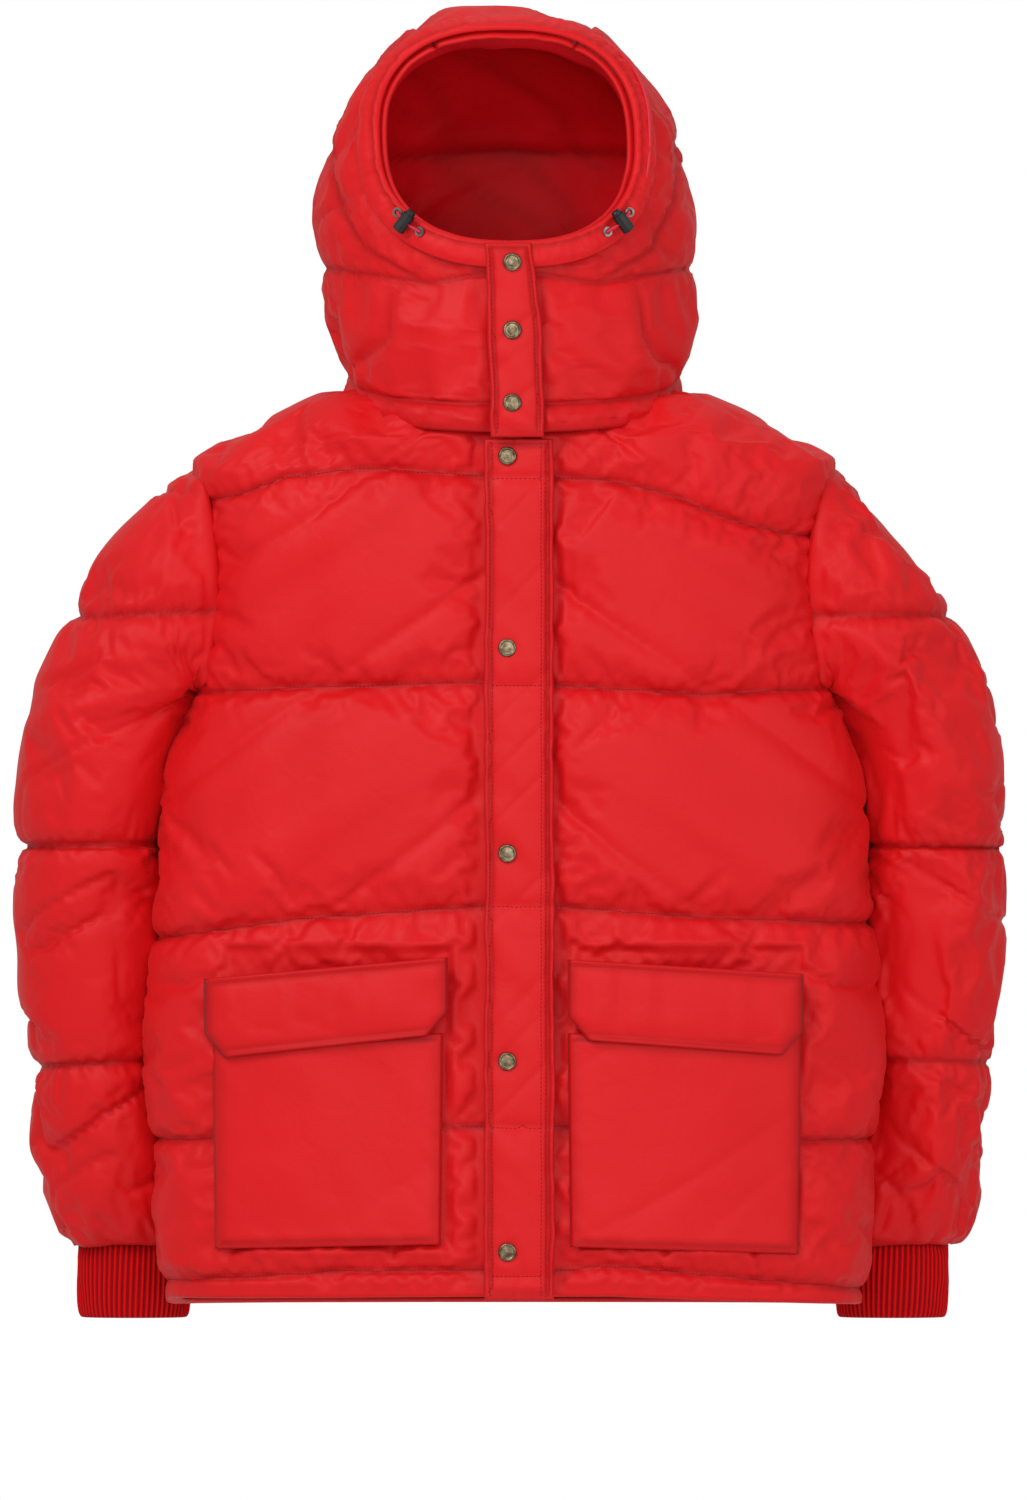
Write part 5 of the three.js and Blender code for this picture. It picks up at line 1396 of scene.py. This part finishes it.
# %% A tree that sets caps on points
def on_points_tree():
    tree = bpy.data.node_groups.new("set_on_points", "GeometryNodeTree")
    tree.interface.new_socket("Geometry", in_out="INPUT", socket_type="NodeSocketGeometry")
    tree.interface.new_socket("Shape", in_out="INPUT", socket_type="NodeSocketObject")
    tree.interface.new_socket("Material", in_out="INPUT", socket_type="NodeSocketMaterial")
    tree.interface.new_socket("Geometry", in_out="OUTPUT", socket_type="NodeSocketGeometry")
    given = add(tree, "NodeGroupInput").outputs
    shape = add(tree, "GeometryNodeObjectInfo", {"Object": given["Shape"]})
    slope = add(tree, "GeometryNodeInputNamedAttribute", {"Name": "slope"}, data_type="FLOAT_VECTOR")
    turn = add(tree, "FunctionNodeAlignRotationToVector", {"Vector": slope.outputs["Attribute"]}, axis="Z")
    placed = add(tree, "GeometryNodeInstanceOnPoints",
                 {"Points": given["Geometry"], "Instance": shape.outputs["Geometry"],
                  "Rotation": turn.outputs["Rotation"]})
    real = add(tree, "GeometryNodeRealizeInstances", {"Geometry": placed.outputs["Instances"]})
    painted = add(tree, "GeometryNodeSetMaterial",
                  {"Geometry": real.outputs["Geometry"], "Material": given["Material"]})
    add(tree, "NodeGroupOutput", {"Geometry": painted.outputs["Geometry"]})
    return tree


ON_POINTS = on_points_tree()


def turned(name, profile, segments=40):
    """A turned shape about Z from (radius, height) pairs, closed at both ends."""
    angle = np.linspace(0, 2 * np.pi, segments, endpoint=False)
    rings = [np.stack([r * np.cos(angle), r * np.sin(angle), np.full(segments, h)], 1) for r, h in profile]
    points = np.concatenate(rings) / 1000
    faces = grid_faces(len(profile), segments, closed=True)
    faces.append(list(range(segments))[::-1])
    faces.append([(len(profile) - 1) * segments + i for i in range(segments)])
    mesh = bpy.data.meshes.new(name)
    mesh.from_pydata(points.tolist(), [], faces)
    mesh.polygons.foreach_set("use_smooth", [True] * len(mesh.polygons))
    made = bpy.data.objects.new(name, mesh)
    scene.collection.objects.link(made)
    return made


CAP = turned("snap_cap_shape", [(5.6, -1.2), (7.1, -1.0), (7.45, 0.0), (7.5, 0.9), (7.3, 1.9), (6.9, 2.4),
                                (6.2, 2.7), (5.7, 2.5), (5.3, 2.1), (4.9, 2.05), (3.5, 2.25), (2.2, 2.35),
                                (1.0, 2.4), (0.3, 2.4)])


def caps(name, body_name, nodes, form, x, heights, stand):
    spots, slopes = [], []
    for z in heights:
        n = form.facing(x, z)
        spots.append((np.array([x, form.front_y(x, z), z]) + n * stand - np.array([0, LOOP_BACK, 0])) / 1000)
        slopes.append(n)
    mesh = bpy.data.meshes.new(name)
    mesh.from_pydata([tuple(s) for s in spots], [], [])
    mark = mesh.attributes.new("slope", "FLOAT_VECTOR", "POINT")
    mark.data.foreach_set("vector", np.array(slopes, np.float32).ravel())
    made = bpy.data.objects.new(name, mesh)
    scene.collection.objects.link(made)
    modifier = made.modifiers.new("caps", "NODES")
    modifier.node_group = ON_POINTS
    give(modifier, Shape=CAP, Material=ANTIQUE_BRASS)
    apply_all(made)
    return finish_piece(made, body_name, "snap_brass", *nodes)


caps("closure_snap_caps", "storm_flap", [f"snap_cap_{i}" for i in range(1, 6)], TORSO, -5.0,
     SNAP_HEIGHTS, 11.3)
caps("hood_snap_caps", "hood_flap", [f"hood_snap_cap_{i}" for i in range(1, 4)], HOOD, -1.0,
     HOOD_SNAP_HEIGHTS, 11.3)
bpy.data.objects.remove(CAP)

# %% [markdown]
# ## Small parts that keep their CAD shape
# The studs behind the flap, the zip's slider, puller, box and pin, the eyelets, the cord locks and
# the round badge on the sleeve are exact in the CAD model, so they only take their finish here.

# %% Finishes of the CAD parts
FINISHES = {"snap_stud": ANTIQUE_BRASS, "hood_snap_stud": ANTIQUE_BRASS, "zip_": ANTIQUE_BRASS,
            "sleeve_badge": DARK_NICKEL, "eyelet": DARK_NICKEL, "cord_lock": BLACK_ACETAL,
            "cord_plunger": BLACK_ACETAL}
for name, node in NODES.items():
    for start, finish in FINISHES.items():
        if name.startswith(start) and not name.startswith("zip_tape"):
            node.data.materials.clear()
            node.data.materials.append(finish)

# %% Collar, neck band, under flap and hang loop
def ring_pad(name, lower, upper, thickness, material, seed):
    """An upright band between two rings of points."""
    lower, upper = np.asarray(lower), np.asarray(upper)
    count = len(lower)
    centre = (lower.mean(0) + upper.mean(0)) / 2
    rows = []
    for share in np.linspace(0, 1, 14):
        ring = lower * (1 - share) + upper * share
        away = ring - centre
        away[:, 2] = 0
        away /= np.linalg.norm(away, axis=1, keepdims=True)
        bulge = thickness * 0.45 * math.sin(math.pi * share) ** 0.5
        bulge = bulge + 0.8 * noise(np.arange(count) / 5, share * 3, 0, seed) * math.sin(math.pi * share)
        rows.append(ring + away * (np.zeros(count) + bulge)[:, None])
    grid = np.stack(rows)
    # painted shade, darker towards the band's lower edge where it is sewn in
    made = piece(name, grid, grid_faces(len(grid), count, closed=True), material,
                 np.tile(np.linspace(0.6, 0.0, 14)[:, None], (1, count)))
    test = made.data.polygons[count * 6]
    middle = Vector((centre - np.array([0, LOOP_BACK, 0])) / 1000)
    if (test.center - middle).dot(test.normal) < 0:
        made.data.flip_normals()
    return thicken(made, thickness)


angle = np.linspace(0, 2 * np.pi, 140, endpoint=False)
oval = lambda a, b, cy, z: np.stack([a * np.cos(angle), cy + b * np.sin(angle), np.full(140, float(z))], 1)
collar = ring_pad("stand_collar", oval(98, 87, -2, -24), oval(97, 86, -2, 40), 6.0, LINING_TAFFETA, 101)
finish_piece(collar, "root", "shell_red", "collar")
band_low = HOOD.ring(np.full(140, -30.0), angle, -13)
band_low[:, 2] = neck_z(band_low[:, 1]) + 1
band_high = band_low.copy()
band_high[:, 2] += 34
band = ring_pad("hood_inner_band", band_low, band_high, 2.4, LINING_TAFFETA, 103)
finish_piece(band, "hood", "shell_red", "hood_neck_band")
guard = pad("zip_under_flap", straight_rows(lambda z: -16.0, lambda z: 44.0, -46, -730, 8.0), TORSO_FACE,
            -26.0, 3.0, lambda x, z, e: 0.6 * noise(x / 20, z / 40, 0, 105))
finish_piece(guard, "root", "shell_red", "under_flap")

loop_path = []
for degrees in np.linspace(-90, 90, 25):
    a = math.radians(degrees)
    loop_path.append((29.5 * power(np.sin(a), 0.45), -1.2 - 20.0 * (1 - power(np.cos(a), 0.45))))
loop_path = even(loop_path, 60)
strip = []
for k, (depth_at, drop) in enumerate(((-2.4, 0), (2.4, 0), (2.4, 1), (-2.4, 1))):
    inner = loop_path * [1 - drop * 1.5 / 30, 1] - [0, drop * 1.4]
    strip.append(np.stack([inner[:, 0], np.full(60, LOOP_BACK - 0.2) + depth_at * 0.35, inner[:, 1]], 1))
strip = np.stack(strip + strip[:1])
hang = piece("hang_loop_tape", strip, grid_faces(5, 60), PIPING_CLOTH, np.zeros(strip.shape[:2]))
work = bmesh.new()
work.from_mesh(hang.data)
bmesh.ops.remove_doubles(work, verts=work.verts, dist=1e-6)
bmesh.ops.holes_fill(work, edges=work.edges)
bmesh.ops.recalc_face_normals(work, faces=work.faces)
work.to_mesh(hang.data)
work.free()
finish_piece(hang, "root", "shell_red", "hang_loop")

# %% [markdown]
# ## Drawcord
# The cord is sewn in at each side of the chin. It comes out of the lower eyelet, passes through the
# cord lock, goes in at the upper eyelet and runs over the brow inside the tunnel. It is held along
# its whole length, so it is part of the hood and not a free cord.

# %% Drawcord


def middle_of(node):
    low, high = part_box(node)
    return np.array((low + high) / 2) * 1000 + np.array([0, LOOP_BACK, 0])


def chin_way(side):
    upper, lower, lock = (middle_of(f"eyelet_{side}_upper"), middle_of(f"eyelet_{side}_lower"),
                          middle_of(f"cord_lock_{side}"))
    out = np.array([0, -1.0, 0])
    return [lower - out * 4, lower + out * 1.6, lower * 0.45 + lock * 0.55 + out * 0.8, lock,
            upper * 0.45 + lock * 0.55 + out * 0.8, upper + out * 1.6, upper - out * 4]


brow = []
for degrees in np.linspace(-18, 198, 26):
    a = math.radians(degrees)
    x = 111.0 * power(np.cos(a), 0.8)
    z = FACE_CENTRE + 95.0 * power(np.sin(a), 0.8)
    brow.append(np.array([x, float(HOOD.front_y(x, z, 3.5)), z]))
route = np.array(chin_way("left") + brow + chin_way("right")[::-1])
run = np.r_[0, np.cumsum(np.linalg.norm(np.diff(route, axis=0), axis=1))]
fine = np.linspace(0, run[-1], 420)
centre_line = np.stack([through(run, route[:, a], fine) for a in range(3)], 1)
tangent = np.gradient(centre_line, axis=0)
tangent /= np.linalg.norm(tangent, axis=1, keepdims=True)
side_way = np.cross(tangent, np.array([0.02, 1.0, 0.03]))
side_way /= np.linalg.norm(side_way, axis=1, keepdims=True)
up_way = np.cross(side_way, tangent)
around = np.linspace(0, 2 * np.pi, 10, endpoint=False)
cord_grid = (centre_line[:, None] + 1.25 * (np.cos(around)[None, :, None] * side_way[:, None]
                                            + np.sin(around)[None, :, None] * up_way[:, None]))
# painted shade in the grooves between the braid's strands, on every second column
cord = piece("drawcord_braid", cord_grid, grid_faces(len(cord_grid), 10, closed=True), CORD_BRAID,
             np.tile((np.arange(10) % 2) * 0.35, (len(cord_grid), 1)))
work = bmesh.new()
work.from_mesh(cord.data)
bmesh.ops.holes_fill(work, edges=work.edges)
bmesh.ops.recalc_face_normals(work, faces=work.faces)
work.to_mesh(cord.data)
work.free()
finish_piece(cord, "hood", "cord_red", "drawcord")
print("drawcord", round(run[-1], 1), "mm")

# %% Floor
bpy.ops.mesh.primitive_plane_add(size=2.6, location=(0, 0, -1.25))
floor = bpy.context.object
floor.name = "studio_floor"
paint = bpy.data.materials.new("pale_studio_floor")
paint.use_nodes = True
floor_tree = paint.node_tree
floor_tree.nodes.clear()
speck = add(floor_tree, "ShaderNodeTexNoise", {"Scale": 30.0})
shade = add(floor_tree, "ShaderNodeMapRange", {"Value": speck.outputs["Fac"], "To Min": 0.82, "To Max": 0.86})
matte = add(floor_tree, "ShaderNodeBsdfPrincipled", {"Base Color": shade.outputs["Result"], "Roughness": 0.8})
add(floor_tree, "ShaderNodeOutputMaterial", {"Surface": matte.outputs["BSDF"]})
floor.data.materials.append(paint)
